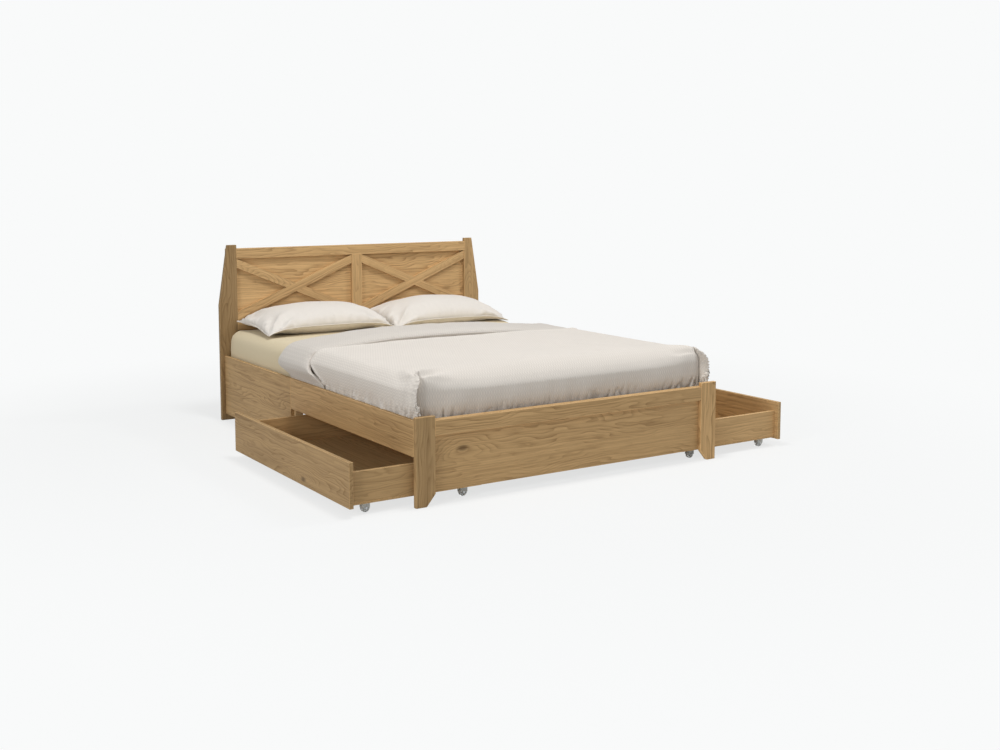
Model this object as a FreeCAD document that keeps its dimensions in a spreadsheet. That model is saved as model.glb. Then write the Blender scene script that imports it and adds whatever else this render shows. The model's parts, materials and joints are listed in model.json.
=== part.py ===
"""Platform bed with a cross-braced headboard and two drawers that roll on casters.

Frame: origin on the floor at the middle of the bed, +Z up, +Y towards the headboard,
+X to the right-hand drawer. Millimetres. The drawers stand part open.
"""
import FreeCAD, Part
import os
import re
import Sketcher
from FreeCAD import Vector

SIZES = [
    ("bed_width", 1600, "outside of the side rails and foot posts"),
    ("bed_length", 2165, "front of the foot posts to the back of the headboard"),
    ("arris", 1.2, "bevel on every edge of the boards"),
    ("rail_thickness", 18, "side rails and side panels"),
    ("rail_top", 352, "top of the side rails above the floor"),
    ("rail_bottom", 205, "underside of the rail over the drawer"),
    ("side_panel_bottom", 35, "underside of the fixed side panel"),
    ("drawer_bay", 1219, "foot post to the seam with the side panel"),
    ("seam_gap", 1, "open joint between rail and side panel"),
    ("foot_post_width", 90, "foot post across the bed"),
    ("foot_post_thickness", 20, "foot post along the bed"),
    ("foot_height", 366, "top of the foot posts"),
    ("foot_notch_width", 41, "sloped cut at the foot of each post"),
    ("foot_notch_height", 49, "height of the sloped cut"),
    ("foot_rail_top", 348, "top of the rail between the foot posts"),
    ("foot_rail_height", 63, "rail between the foot posts"),
    ("foot_panel_bottom", 50, "underside of the footboard panel"),
    ("foot_panel_thickness", 18, "footboard panel"),
    ("head_overhang", 22, "head post beyond the side rail"),
    ("head_height", 951, "top of the head posts"),
    ("head_post_width", 101, "head post below its taper"),
    ("head_post_top_width", 51, "head post at the top"),
    ("taper_start", 627, "height where the head post starts to narrow"),
    ("head_post_thickness", 22, "head posts and the rails between them"),
    ("head_panel_thickness", 18, "headboard panel"),
    ("head_panel_inset", 50, "panel edge inside the widest part of the posts"),
    ("top_rail_drop", 20, "head post stands above the top rail"),
    ("top_rail_height", 55, "top rail of the headboard"),
    ("low_rail_bottom", 487, "underside of the low rail of the headboard"),
    ("low_rail_height", 50, "low rail of the headboard"),
    ("stile_width", 62, "middle stile of the headboard"),
    ("brace_width", 45, "cross braces"),
    ("brace_setback", 4, "brace face behind the stile face"),
    ("cross_rail_height", 140, "cross rail that carries the middle beam"),
    ("cross_rail_drop", 12, "cross rail and headboard panel below the beam"),
    ("ledger_width", 30, "slat ledger"),
    ("ledger_height", 40, "slat ledger"),
    ("slat_top", 270, "top of the slats above the floor"),
    ("slat_thickness", 18, "slats"),
    ("slat_width", 70, "slats"),
    ("slat_end_gap", 4, "slat end to side rail"),
    ("slat_margin", 30, "first and last slat to the end boards"),
    ("webbing_width", 30, "strap that spaces the slats"),
    ("webbing_thickness", 1.5, "strap that spaces the slats"),
    ("webbing_offset", 400, "strap from the middle of the bed"),
    ("beam_width", 40, "middle beam"),
    ("beam_height", 60, "middle beam"),
    ("leg_width", 45, "middle legs"),
    ("leg_end_distance", 284, "outer middle legs to the end boards"),
    ("side_leg_width", 40, "leg behind the seam"),
    ("side_leg_clearance", 10, "drawer side to the leg behind the seam"),
    ("hanger_thickness", 2, "steel beam hanger"),
    ("hanger_depth", 40, "length of the hanger's seat"),
    ("hanger_height", 46, "height of the hanger's cheeks"),
    ("hanger_flange", 20, "back plate beyond the cheeks"),
    ("bracket_leg", 40, "corner bracket"),
    ("bracket_height", 70, "corner bracket"),
    ("bracket_thickness", 3, "corner bracket"),
    ("bracket_gap", 5, "ledger end to the corner bracket"),
    ("screw_shank", 5, "diameter of the wood screws"),
    ("screw_head", 11, "diameter of the screw heads"),
    ("screw_head_height", 3, "screw heads"),
    ("screw_bite", 12, "depth of the screws in the wood"),
    ("screw_hole_clearance", 0.4, "bracket hole over the screw, on the diameter"),
    ("drawer_front_thickness", 18, "drawer front"),
    ("drawer_front_bottom", 35, "underside of the drawer front"),
    ("drawer_front_lap", 14, "front laps over the rail above it"),
    ("drawer_front_gap", 1.5, "front to the foot post and to the side panel"),
    ("drawer_stop_gap", 0.5, "closed front to the rail"),
    ("drawer_depth", 600, "drawer box across the bed"),
    ("drawer_overhang", 25, "front beyond the box at each end"),
    ("drawer_wall", 15, "sides and back of the drawer box"),
    ("drawer_wall_height", 124, "sides and back of the drawer box"),
    ("drawer_floor_thickness", 9, "drawer floor"),
    ("left_drawer_open", 263, "how far the left drawer stands open"),
    ("right_drawer_open", 435, "how far the right drawer stands open"),
    ("wheel_diameter", 36, "caster wheel"),
    ("wheel_width", 18, "caster wheel"),
    ("wheel_round", 3, "rounded edge of the tread"),
    ("wheel_side_clearance", 0.5, "wheel to each cheek of the fork"),
    ("wheel_hub_diameter", 20, "raised hub in the dished side of the wheel"),
    ("wheel_dish", 2, "depth of the dish in each side of the wheel"),
    ("axle_diameter", 5, "caster axle"),
    ("axle_clearance", 0.06, "running clearance on the radius"),
    ("axle_head", 9, "rivet head of the axle"),
    ("axle_head_height", 1.6, "rivet head of the axle"),
    ("fork_thickness", 2.5, "caster fork"),
    ("wheel_top_clearance", 2.5, "top of the wheel to the fork's plate"),
    ("fork_length", 34, "caster fork where it meets the drawer floor"),
    ("fork_cheek_radius", 9, "rounded end of the fork's cheek"),
    ("caster_inset_depth", 75, "caster to the front and to the back of the box"),
    ("caster_inset_length", 31, "caster to the ends of the box"),
    ("mattress_side_gap", 19.5, "mattress to each side rail"),
    ("mattress_head_gap", 33, "mattress to the headboard"),
    ("mattress_height", 220, "mattress"),
    ("mattress_round", 55, "upright corners of the mattress"),
    ("mattress_edge", 22, "top and bottom edges of the mattress"),
    ("mattress_foot_gap", 24, "mattress to the footboard panel"),
    ("soft_gap", 0.5, "soft goods to what they lie on"),
    ("duvet_side", 14, "duvet tucked at the sides and the foot"),
    ("duvet_top", 28, "duvet on top of the mattress"),
    ("duvet_fold", 16, "turned-back part above the duvet"),
    ("duvet_fold_length", 310, "turned-back part along the bed"),
    ("duvet_pillow_gap", 316, "duvet's fold to the pillows"),
    ("duvet_tuck_bottom", 300, "lower edge of the tucked duvet"),
    ("pillow_side_gap", 34.5, "pillow to the side of the mattress"),
    ("pillow_depth", 450, "pillow along the bed"),
    ("pillow_height", 142, "pillow"),
    ("pillow_gap", 16, "between the two pillows"),
    ("pillow_head_gap", 14, "pillow to the headboard"),
]

SLAT_COUNT = 14
SIDES = (("left", -1), ("right", 1))

doc = FreeCAD.newDocument("StorageBed")
sheet = doc.addObject("Spreadsheet::Sheet", "Sizes")
for row, (alias, value, note) in enumerate(SIZES, start=1):
    sheet.set(f"A{row}", alias)
    sheet.set(f"B{row}", str(value))
    sheet.set(f"C{row}", note)
    sheet.setAlias(f"B{row}", alias)
doc.recompute()

ALIASES = {alias for alias, value, note in SIZES}
pieces = []

# Places that several pieces share, as expressions over the sheet.
HALF = "(bed_width / 2)"
RAIL_INNER = "(bed_width / 2 - rail_thickness)"
FOOT_Y = "(-bed_length / 2)"
HEAD_Y = "(bed_length / 2)"
FOOT_POST_BACK = f"({FOOT_Y} + foot_post_thickness)"
FOOT_INNER = f"({FOOT_POST_BACK} + foot_panel_thickness)"
PANEL_FRONT = f"({HEAD_Y} - head_panel_thickness)"
HEAD_INNER = f"({PANEL_FRONT} - head_post_thickness)"
SEAM = f"({FOOT_POST_BACK} + drawer_bay)"
HEAD_OUTER = f"({HALF} + head_overhang)"
POST_INNER = f"({HEAD_OUTER} - head_post_width)"
TOP_RAIL_TOP = "(head_height - top_rail_drop)"
BAY_TOP = f"({TOP_RAIL_TOP} - top_rail_height)"
BAY_BOTTOM = "(low_rail_bottom + low_rail_height)"
SLAT_BOTTOM = "(slat_top - slat_thickness)"
LEDGER_BOTTOM = f"({SLAT_BOTTOM} - ledger_height)"
BEAM_BOTTOM = f"({SLAT_BOTTOM} - beam_height)"
CROSS_RAIL_BOTTOM = f"({BEAM_BOTTOM} - cross_rail_drop)"
BOX_FOOT = f"({FOOT_POST_BACK} + drawer_front_gap + drawer_overhang)"
BOX_HEAD = f"({SEAM} - drawer_front_gap - drawer_overhang)"
BOX_FLOOR_BOTTOM = "(wheel_diameter + wheel_top_clearance + fork_thickness)"
BOX_FLOOR_TOP = f"({BOX_FLOOR_BOTTOM} + drawer_floor_thickness)"
MATTRESS_HALF = f"({RAIL_INNER} - mattress_side_gap)"
MATTRESS_FOOT = f"({FOOT_INNER} + mattress_foot_gap)"
MATTRESS_HEAD = f"({HEAD_INNER} - mattress_head_gap)"
MATTRESS_BOTTOM = "(slat_top + soft_gap)"
MATTRESS_TOP = f"({MATTRESS_BOTTOM} + mattress_height)"


def bound(text):
    """Write an expression over the sheet's aliases in the form that the document reads."""
    return re.sub(r"[a-z][a-z_]+", lambda m: "Sizes." + m[0] if m[0] in ALIASES else m[0], text)


def value_of(text):
    """The present value of an expression over the sheet's aliases, in millimetres."""
    result = sheet.evalExpression(bound(text))
    return float(getattr(result, "Value", result))


def bind(thing, **properties):
    """Bind an object's properties to expressions; a double underscore stands for a dot."""
    for name, text in properties.items():
        thing.setExpression(name.replace("__", "."), bound(text))


def place(thing, x="0", y="0", z="0"):
    bind(thing, Placement__Base__x=x, Placement__Base__y=y, Placement__Base__z=z)


def keep(thing, label):
    """Mark an object as one sub-part of the bed."""
    thing.Label = label
    pieces.append(thing)
    return thing


def mirrored(sign, near, far):
    """The span from near to far from the middle of the bed, on the given side."""
    if sign > 0:
        return near, far
    return f"-({far})", f"-({near})"


def plain_box(name, x, y, z):
    """A square-edged block over three spans."""
    box = doc.addObject("Part::Box", name)
    bind(box, Length=f"{x[1]} - ({x[0]})", Width=f"{y[1]} - ({y[0]})", Height=f"{z[1]} - ({z[0]})")
    place(box, x[0], y[0], z[0])
    return box


def board(label, x, y, z):
    """A board over three spans, with every edge bevelled."""
    body = doc.addObject("PartDesign::Body", label)
    block = body.newObject("PartDesign::AdditiveBox", label + "_block")
    bind(block, Length=f"{x[1]} - ({x[0]})", Width=f"{y[1]} - ({y[0]})", Height=f"{z[1]} - ({z[0]})")
    bevel_all(body, block)
    place(body, x[0], y[0], z[0])
    return keep(body, label)


def bevel_all(body, base):
    bevel = body.newObject("PartDesign::Chamfer", body.Name + "_arris")
    bevel.Base = (base, [""])
    bevel.UseAllEdges = True
    bind(bevel, Size="arris")
    body.Tip = bevel


def origin_plane(body, role):
    return next(f for f in body.Origin.OriginFeatures if f.Role == role)


def polygon_sketch(body, role, points):
    """A closed outline whose corners are bound to the sheet; "0" puts a corner on the axis."""
    sketch = body.newObject("Sketcher::SketchObject", body.Name + "_outline")
    sketch.AttachmentSupport = [(origin_plane(body, role), "")]
    sketch.MapMode = "FlatFace"
    corners = [Vector(value_of(u), value_of(v), 0) for u, v in points]
    count = len(corners)
    for i in range(count):
        sketch.addGeometry(Part.LineSegment(corners[i], corners[(i + 1) % count]), False)
    for i in range(count):
        sketch.addConstraint(Sketcher.Constraint("Coincident", i, 2, (i + 1) % count, 1))
    for i, (u, v) in enumerate(points):
        for kind, text, axis in (("DistanceX", u, -2), ("DistanceY", v, -1)):
            if text == "0":
                sketch.addConstraint(Sketcher.Constraint("PointOnObject", i, 1, axis))
                continue
            rule = sketch.addConstraint(Sketcher.Constraint(kind, -1, 1, i, 1, value_of(text)))
            sketch.setExpression(f"Constraints[{rule}]", bound(text))
    return sketch


def shaped_board(label, points, y):
    """A board cut to an outline in the XZ plane, over the span y, with bevelled edges."""
    body = doc.addObject("PartDesign::Body", label)
    sketch = polygon_sketch(body, "XZ_Plane", points)
    pad = body.newObject("PartDesign::Pad", label + "_pad")
    pad.Profile = sketch
    bind(pad, Length=f"{y[1]} - ({y[0]})")
    bevel_all(body, pad)
    place(body, y=y[1])
    return keep(body, label)


def group(label, members):
    """Like pieces kept as one sub-part of separate solids."""
    compound = doc.addObject("Part::Compound", label)
    compound.Links = members
    return keep(compound, label)


def fused(name, members):
    union = doc.addObject("Part::MultiFuse", name)
    union.Shapes = members
    return union


def cylinder(name, radius, height, x, y, z, direction):
    """A cylinder from a point along +X, -X, +Y or -Y."""
    turns = {"+X": (Vector(0, 1, 0), 90), "-X": (Vector(0, 1, 0), -90),
             "+Y": (Vector(1, 0, 0), -90), "-Y": (Vector(1, 0, 0), 90)}
    rod = doc.addObject("Part::Cylinder", name)
    bind(rod, Radius=radius, Height=height)
    axis, angle = turns[direction]
    rod.Placement.Rotation = FreeCAD.Rotation(axis, angle)
    place(rod, x, y, z)
    return rod


def footboard():
    y = (FOOT_Y, FOOT_POST_BACK)
    inner = f"({HALF} - foot_post_width)"
    for side, sign in SIDES:
        s = "-" if sign < 0 else ""
        outline = [(f"{s}({HALF})", "0"), (f"{s}({HALF})", "foot_height"), (f"{s}{inner}", "foot_height"),
                   (f"{s}{inner}", "foot_notch_height"), (f"{s}({inner} + foot_notch_width)", "0")]
        shaped_board(f"footboard_post_{side}", outline, y)
    board("footboard_top_rail", (f"-{inner}", inner), y,
          ("foot_rail_top - foot_rail_height", "foot_rail_top"))
    board("footboard_panel", (f"-{RAIL_INNER}", RAIL_INNER), (FOOT_POST_BACK, FOOT_INNER),
          ("foot_panel_bottom", "foot_rail_top"))


def headboard():
    y = (HEAD_INNER, PANEL_FRONT)
    for side, sign in SIDES:
        s = "-" if sign < 0 else ""
        outline = [(f"{s}{POST_INNER}", "0"), (f"{s}{HEAD_OUTER}", "0"), (f"{s}{HEAD_OUTER}", "taper_start"),
                   (f"{s}({POST_INNER} + head_post_top_width)", "head_height"),
                   (f"{s}{POST_INNER}", "head_height")]
        shaped_board(f"headboard_post_{side}", outline, y)
    across = (f"-{POST_INNER}", POST_INNER)
    board("headboard_top_rail", across, y, (BAY_TOP, TOP_RAIL_TOP))
    board("headboard_low_rail", across, y, ("low_rail_bottom", BAY_BOTTOM))
    board("headboard_stile", ("-stile_width / 2", "stile_width / 2"), y, (BAY_BOTTOM, BAY_TOP))
    board("headboard_cross_rail", across, y, (CROSS_RAIL_BOTTOM, f"{CROSS_RAIL_BOTTOM} + cross_rail_height"))
    panel_half = f"({HEAD_OUTER} - head_panel_inset)"
    board("headboard_panel", (f"-{panel_half}", panel_half), (PANEL_FRONT, HEAD_Y),
          (CROSS_RAIL_BOTTOM, TOP_RAIL_TOP))
    for side, sign in SIDES:
        braces(side, sign)


def braces(side, sign):
    """Two crossed braces in one bay; the one that falls is in two halves."""
    x = mirrored(sign, "stile_width / 2", POST_INNER)
    wide = f"({POST_INNER} - stile_width / 2)"
    tall = f"({BAY_TOP} - {BAY_BOTTOM})"
    slope = f"(acos(brace_width / sqrt({wide}^2 + {tall}^2)) - atan2({wide}; {tall}))"
    middle = (f"(({x[0]} + {x[1]}) / 2)", f"(({BAY_BOTTOM} + {BAY_TOP}) / 2)")
    front = f"({HEAD_INNER} + brace_setback)"
    bay = plain_box(f"bay_{side}", x, (HEAD_INNER, PANEL_FRONT), (BAY_BOTTOM, BAY_TOP))

    def band(name, turn):
        strip = doc.addObject("Part::Box", name)
        bind(strip, Length=wide + " * 2", Width=f"{PANEL_FRONT} - {front}", Height="brace_width")
        strip.Placement.Rotation = FreeCAD.Rotation(Vector(0, -1, 0), turn)
        angle = slope if turn > 0 else f"-{slope}"
        bind(strip, Placement__Rotation__Angle=angle)
        place(strip, f"{middle[0]} - {wide} * cos({angle}) + brace_width / 2 * sin({angle})", front,
              f"{middle[1]} - {wide} * sin({angle}) - brace_width / 2 * cos({angle})")
        return strip

    rising = doc.addObject("Part::Common", f"brace_{side}_rising")
    rising.Base = band(f"rising_{side}", 1)
    rising.Tool = bay
    keep(rising, f"brace_{side}_rising")
    trimmed = doc.addObject("Part::Common", f"falling_trimmed_{side}")
    trimmed.Base = band(f"falling_{side}", -1)
    trimmed.Tool = bay
    falling = doc.addObject("Part::Cut", f"brace_{side}_falling")
    falling.Base = trimmed
    falling.Tool = rising
    keep(falling, f"brace_{side}_falling")


def side_frame(side, sign):
    x = mirrored(sign, RAIL_INNER, HALF)
    board(f"side_rail_{side}", x, (FOOT_POST_BACK, f"{SEAM} - seam_gap"), ("rail_bottom", "rail_top"))
    board(f"side_panel_{side}", x, (SEAM, HEAD_INNER), ("side_panel_bottom", "rail_top"))
    clear = "(bracket_leg + bracket_gap)"
    board(f"slat_ledger_{side}", mirrored(sign, f"({RAIL_INNER} - ledger_width)", RAIL_INNER),
          (f"({FOOT_INNER} + {clear})", f"({HEAD_INNER} - {clear})"), (LEDGER_BOTTOM, SLAT_BOTTOM))
    leg_foot = f"({BOX_HEAD} + side_leg_clearance)"
    board(f"side_leg_{side}", mirrored(sign, f"({RAIL_INNER} - side_leg_width)", RAIL_INNER),
          (leg_foot, f"{leg_foot} + side_leg_width"), ("0", LEDGER_BOTTOM))


def platform():
    half_beam = "beam_width / 2"
    board("center_beam", (f"-{half_beam}", half_beam),
          (f"({FOOT_INNER} + hanger_thickness)", f"({HEAD_INNER} - hanger_thickness)"),
          (BEAM_BOTTOM, SLAT_BOTTOM))
    half_leg = "leg_width / 2"
    rows = (("foot", f"({FOOT_INNER} + leg_end_distance)"), ("middle", "0"),
            ("head", f"({HEAD_INNER} - leg_end_distance)"))
    for name, y in rows:
        board(f"center_leg_{name}", (f"-{half_leg}", half_leg),
              (f"({y} - {half_leg})", f"({y} + {half_leg})"), ("0", BEAM_BOTTOM))
    hanger("foot", FOOT_INNER, 1)
    hanger("head", HEAD_INNER, -1)
    slat_half = f"({RAIL_INNER} - slat_end_gap)"
    first = f"({FOOT_INNER} + slat_margin)"
    pitch = f"(({HEAD_INNER} - slat_margin - slat_width - {first}) / {SLAT_COUNT - 1})"
    slats = []
    for i in range(SLAT_COUNT):
        start = f"({first} + {i} * {pitch})"
        slats.append(plain_box(f"slat_{i + 1}", (f"-{slat_half}", slat_half),
                               (start, f"{start} + slat_width"), (SLAT_BOTTOM, "slat_top")))
    group("slats", slats)
    straps = []
    for side, sign in SIDES:
        x = mirrored(sign, "webbing_offset", "(webbing_offset + webbing_width)")
        straps.append(plain_box(f"strap_{side}", x, (first, f"{HEAD_INNER} - slat_margin"),
                                (f"({SLAT_BOTTOM} - webbing_thickness)", SLAT_BOTTOM)))
    group("slat_webbing", straps)


def hanger(end, wall, sign):
    """A steel cradle on an end board, with a back plate, a seat and two cheeks for the beam."""
    half = "beam_width / 2"
    outer = f"({half} + hanger_thickness)"
    low = f"({BEAM_BOTTOM} - hanger_thickness)"
    top = f"({low} + hanger_height)"
    depth = (wall, f"({wall} + hanger_depth)") if sign > 0 else (f"({wall} - hanger_depth)", wall)
    plate = (wall, f"({wall} + hanger_thickness)") if sign > 0 else (f"({wall} - hanger_thickness)", wall)
    flange = f"({outer} + hanger_flange)"
    members = [plain_box(f"hanger_plate_{end}", (f"-{flange}", flange), plate, (low, top)),
               plain_box(f"hanger_seat_{end}", (f"-{outer}", outer), depth, (low, BEAM_BOTTOM))]
    for side, s in SIDES:
        members.append(plain_box(f"hanger_cheek_{end}_{side}", mirrored(s, half, outer), depth, (low, top)))
    keep(fused(f"beam_hanger_{end}", members), f"beam_hanger_{end}")


def corner_brackets():
    """Steel angles in the four corners, each with two screws into the side and two into the end."""
    brackets = []
    screws = []
    for side, sign in SIDES:
        for end, wall, along in (("foot", FOOT_INNER, 1), ("head", HEAD_INNER, -1)):
            angle, own = corner_bracket(f"{end}_{side}", sign, wall, along)
            brackets.append(angle)
            screws += own
    group("corner_brackets", brackets)
    group("bracket_screws", screws)


def corner_bracket(name, sign, wall, along):
    a = "+" if along > 0 else "-"
    s = "-" if sign < 0 else ""
    low = "(rail_bottom + bracket_gap)"
    z = (low, f"({low} + bracket_height)")
    leg_x = mirrored(sign, f"({RAIL_INNER} - bracket_leg)", RAIL_INNER)
    thin_x = mirrored(sign, f"({RAIL_INNER} - bracket_thickness)", RAIL_INNER)
    leg_y = sorted_span(wall, f"({wall} {a} bracket_leg)", along)
    thin_y = sorted_span(wall, f"({wall} {a} bracket_thickness)", along)
    solid = fused(f"angle_solid_{name}", [plain_box(f"angle_side_{name}", thin_x, leg_y, z),
                                          plain_box(f"angle_end_{name}", leg_x, thin_y, z)])
    holes = []
    screws = []
    hole_radius = "(screw_shank + screw_hole_clearance) / 2"
    for i, share in enumerate((1, 3)):
        height = f"({low} + bracket_height * {share} / 4)"
        mid_y = f"({wall} {a} bracket_leg * 0.6)"
        mid_x = f"{s}({RAIL_INNER} - bracket_leg * 0.6)"
        outward = "+X" if sign > 0 else "-X"
        into_end = "-Y" if along > 0 else "+Y"
        side_face = f"{s}({RAIL_INNER} - bracket_thickness)"
        end_face = f"({wall} {a} bracket_thickness)"
        holes.append(cylinder(f"hole_side_{name}_{i}", hole_radius, "bracket_thickness",
                              side_face, mid_y, height, outward))
        holes.append(cylinder(f"hole_end_{name}_{i}", hole_radius, "bracket_thickness",
                              mid_x, end_face, height, into_end))
        screws.append(screw(f"side_{name}_{i}", side_face, mid_y, height, outward, sign))
        screws.append(screw(f"end_{name}_{i}", mid_x, end_face, height, into_end, along))
    angle = doc.addObject("Part::Cut", f"angle_{name}")
    angle.Base = solid
    angle.Tool = fused(f"angle_holes_{name}", holes)
    return angle, screws


def sorted_span(near, far, along):
    return (near, far) if along > 0 else (far, near)


def screw(name, x, y, z, direction, sign):
    """A pan-head screw whose head lies on the bracket at the given point."""
    shank = cylinder(f"shank_{name}", "screw_shank / 2", "bracket_thickness + screw_bite", x, y, z, direction)
    head = doc.addObject("Part::Cylinder", f"head_{name}")
    bind(head, Radius="screw_head / 2", Height="screw_head_height")
    head.Placement.Rotation = shank.Placement.Rotation
    back = {"+X": (f"{x} - screw_head_height", y), "-X": (f"{x} + screw_head_height", y),
            "+Y": (x, f"{y} - screw_head_height"), "-Y": (x, f"{y} + screw_head_height")}[direction]
    place(head, back[0], back[1], z)
    return fused(f"screw_{name}", [shank, head])


def drawer(side, sign):
    """One drawer box on four casters, standing open by its own distance."""
    s = "-" if sign < 0 else ""
    stands_open = f"{side}_drawer_open"
    box_out = f"({HALF} + drawer_stop_gap + {stands_open})"
    box_in = f"({box_out} - drawer_depth)"
    front_out = f"({box_out} + drawer_front_thickness)"
    name = f"drawer_{side}"
    board(f"{name}_front", mirrored(sign, box_out, front_out),
          (f"({FOOT_POST_BACK} + drawer_front_gap)", f"({SEAM} - drawer_front_gap)"),
          ("drawer_front_bottom", "(rail_bottom + drawer_front_lap)"))
    z = (BOX_FLOOR_TOP, f"({BOX_FLOOR_TOP} + drawer_wall_height)")
    board(f"{name}_side_foot", mirrored(sign, box_in, box_out), (BOX_FOOT, f"({BOX_FOOT} + drawer_wall)"), z)
    board(f"{name}_side_head", mirrored(sign, box_in, box_out), (f"({BOX_HEAD} - drawer_wall)", BOX_HEAD), z)
    board(f"{name}_back", mirrored(sign, box_in, f"({box_in} + drawer_wall)"),
          (f"({BOX_FOOT} + drawer_wall)", f"({BOX_HEAD} - drawer_wall)"), z)
    board(f"{name}_floor", mirrored(sign, box_in, box_out), (BOX_FOOT, BOX_HEAD),
          (BOX_FLOOR_BOTTOM, BOX_FLOOR_TOP))
    forks = []
    axles = []
    rows = (("foot", f"({BOX_FOOT} + caster_inset_length)"), ("head", f"({BOX_HEAD} - caster_inset_length)"))
    columns = (("outer", f"({box_out} - caster_inset_depth)"), ("inner", f"({box_in} + caster_inset_depth)"))
    for row_name, y in rows:
        for column_name, distance in columns:
            place_name = f"{side}_{row_name}_{column_name}"
            x = f"{s}{distance}"
            forks.append(fork(place_name, x, y))
            axles.append(axle(place_name, x, y))
            wheel(f"{name}_wheel_{row_name}_{column_name}", x, y)
    group(f"{name}_caster_forks", forks)
    group(f"{name}_caster_axles", axles)


FORK_INNER = "(wheel_width / 2 + wheel_side_clearance)"
FORK_OUTER = f"({FORK_INNER} + fork_thickness)"
AXLE_HEIGHT = "(wheel_diameter / 2)"


def fork(name, x, y):
    """A bent fork: a plate under the drawer floor and two cheeks with rounded ends."""
    half = "fork_length / 2"
    plate_low = f"({BOX_FLOOR_BOTTOM} - fork_thickness)"
    shell = plain_box(f"fork_block_{name}", (f"({x} - {half})", f"({x} + {half})"),
                      (f"({y} - {FORK_OUTER})", f"({y} + {FORK_OUTER})"), (AXLE_HEIGHT, BOX_FLOOR_BOTTOM))
    end = cylinder(f"fork_end_{name}", "fork_cheek_radius", f"{FORK_OUTER} * 2",
                   x, f"({y} - {FORK_OUTER})", AXLE_HEIGHT, "+Y")
    gap = plain_box(f"fork_gap_{name}", (f"({x} - fork_length)", f"({x} + fork_length)"),
                    (f"({y} - {FORK_INNER})", f"({y} + {FORK_INNER})"), ("0", plate_low))
    bore = cylinder(f"fork_bore_{name}", "(axle_diameter / 2 + axle_clearance)", f"{FORK_OUTER} * 2",
                    x, f"({y} - {FORK_OUTER})", AXLE_HEIGHT, "+Y")
    result = doc.addObject("Part::Cut", f"fork_{name}")
    result.Base = fused(f"fork_shell_{name}", [shell, end])
    result.Tool = fused(f"fork_void_{name}", [gap, bore])
    return result


def axle(name, x, y):
    """A plain axle riveted over both cheeks."""
    shaft = cylinder(f"axle_shaft_{name}", "axle_diameter / 2", f"{FORK_OUTER} * 2",
                     x, f"({y} - {FORK_OUTER})", AXLE_HEIGHT, "+Y")
    ends = (f"({y} - {FORK_OUTER} - axle_head_height)", f"({y} + {FORK_OUTER})")
    heads = [cylinder(f"axle_head_{name}_{i}", "axle_head / 2", "axle_head_height",
                      x, start, AXLE_HEIGHT, "+Y") for i, start in enumerate(ends)]
    return fused(f"axle_{name}", [shaft] + heads)


def wheel(label, x, y):
    """A moulded wheel: a rounded tread, a dish in each side, a raised hub and a bore."""
    body = doc.addObject("PartDesign::Body", label)
    half = "(wheel_width / 2)"
    rim = "(wheel_diameter / 2)"
    bore = "(axle_diameter / 2 + axle_clearance)"
    hub = "(wheel_hub_diameter / 2)"
    lip = f"({rim} - wheel_round)"
    web = f"({half} - wheel_dish)"
    dish = f"({lip} - wheel_round / 2)"
    points = [(bore, f"-{half}"), (hub, f"-{half}"), (hub, f"-{web}"), (dish, f"-{web}"),
              (dish, f"-{half}"), (lip, f"-{half}"), (rim, f"-({half} - wheel_round)"),
              (rim, f"({half} - wheel_round)"), (lip, half), (dish, half), (dish, web),
              (hub, web), (hub, half), (bore, half)]
    sketch = polygon_sketch(body, "XY_Plane", points)
    turned = body.newObject("PartDesign::Revolution", label + "_turned")
    turned.Profile = sketch
    turned.ReferenceAxis = (sketch, ["V_Axis"])
    turned.Angle = 360
    body.Tip = turned
    place(body, x, y, AXLE_HEIGHT)
    return keep(body, label)


def rounded_block(label, x, y, z, upright, edge):
    """A soft block with rounded upright corners and softened top and bottom edges."""
    body = doc.addObject("PartDesign::Body", label)
    block = body.newObject("PartDesign::AdditiveBox", label + "_block")
    bind(block, Length=f"{x[1]} - ({x[0]})", Width=f"{y[1]} - ({y[0]})", Height=f"{z[1]} - ({z[0]})")
    place(body, x[0], y[0], z[0])
    doc.recompute()
    uprights = [f"Edge{i}" for i, e in enumerate(block.Shape.Edges, start=1)
                if abs(e.BoundBox.ZLength) > 1]
    corners = body.newObject("PartDesign::Fillet", label + "_corners")
    corners.Base = (block, uprights)
    bind(corners, Radius=upright)
    doc.recompute()
    rims = [f"Edge{i}" for i, e in enumerate(corners.Shape.Edges, start=1)
            if abs(e.BoundBox.ZLength) < 1e-4]
    edges = body.newObject("PartDesign::Fillet", label + "_edges")
    edges.Base = (corners, rims)
    bind(edges, Radius=edge)
    body.Tip = edges
    return keep(body, label)


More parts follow.
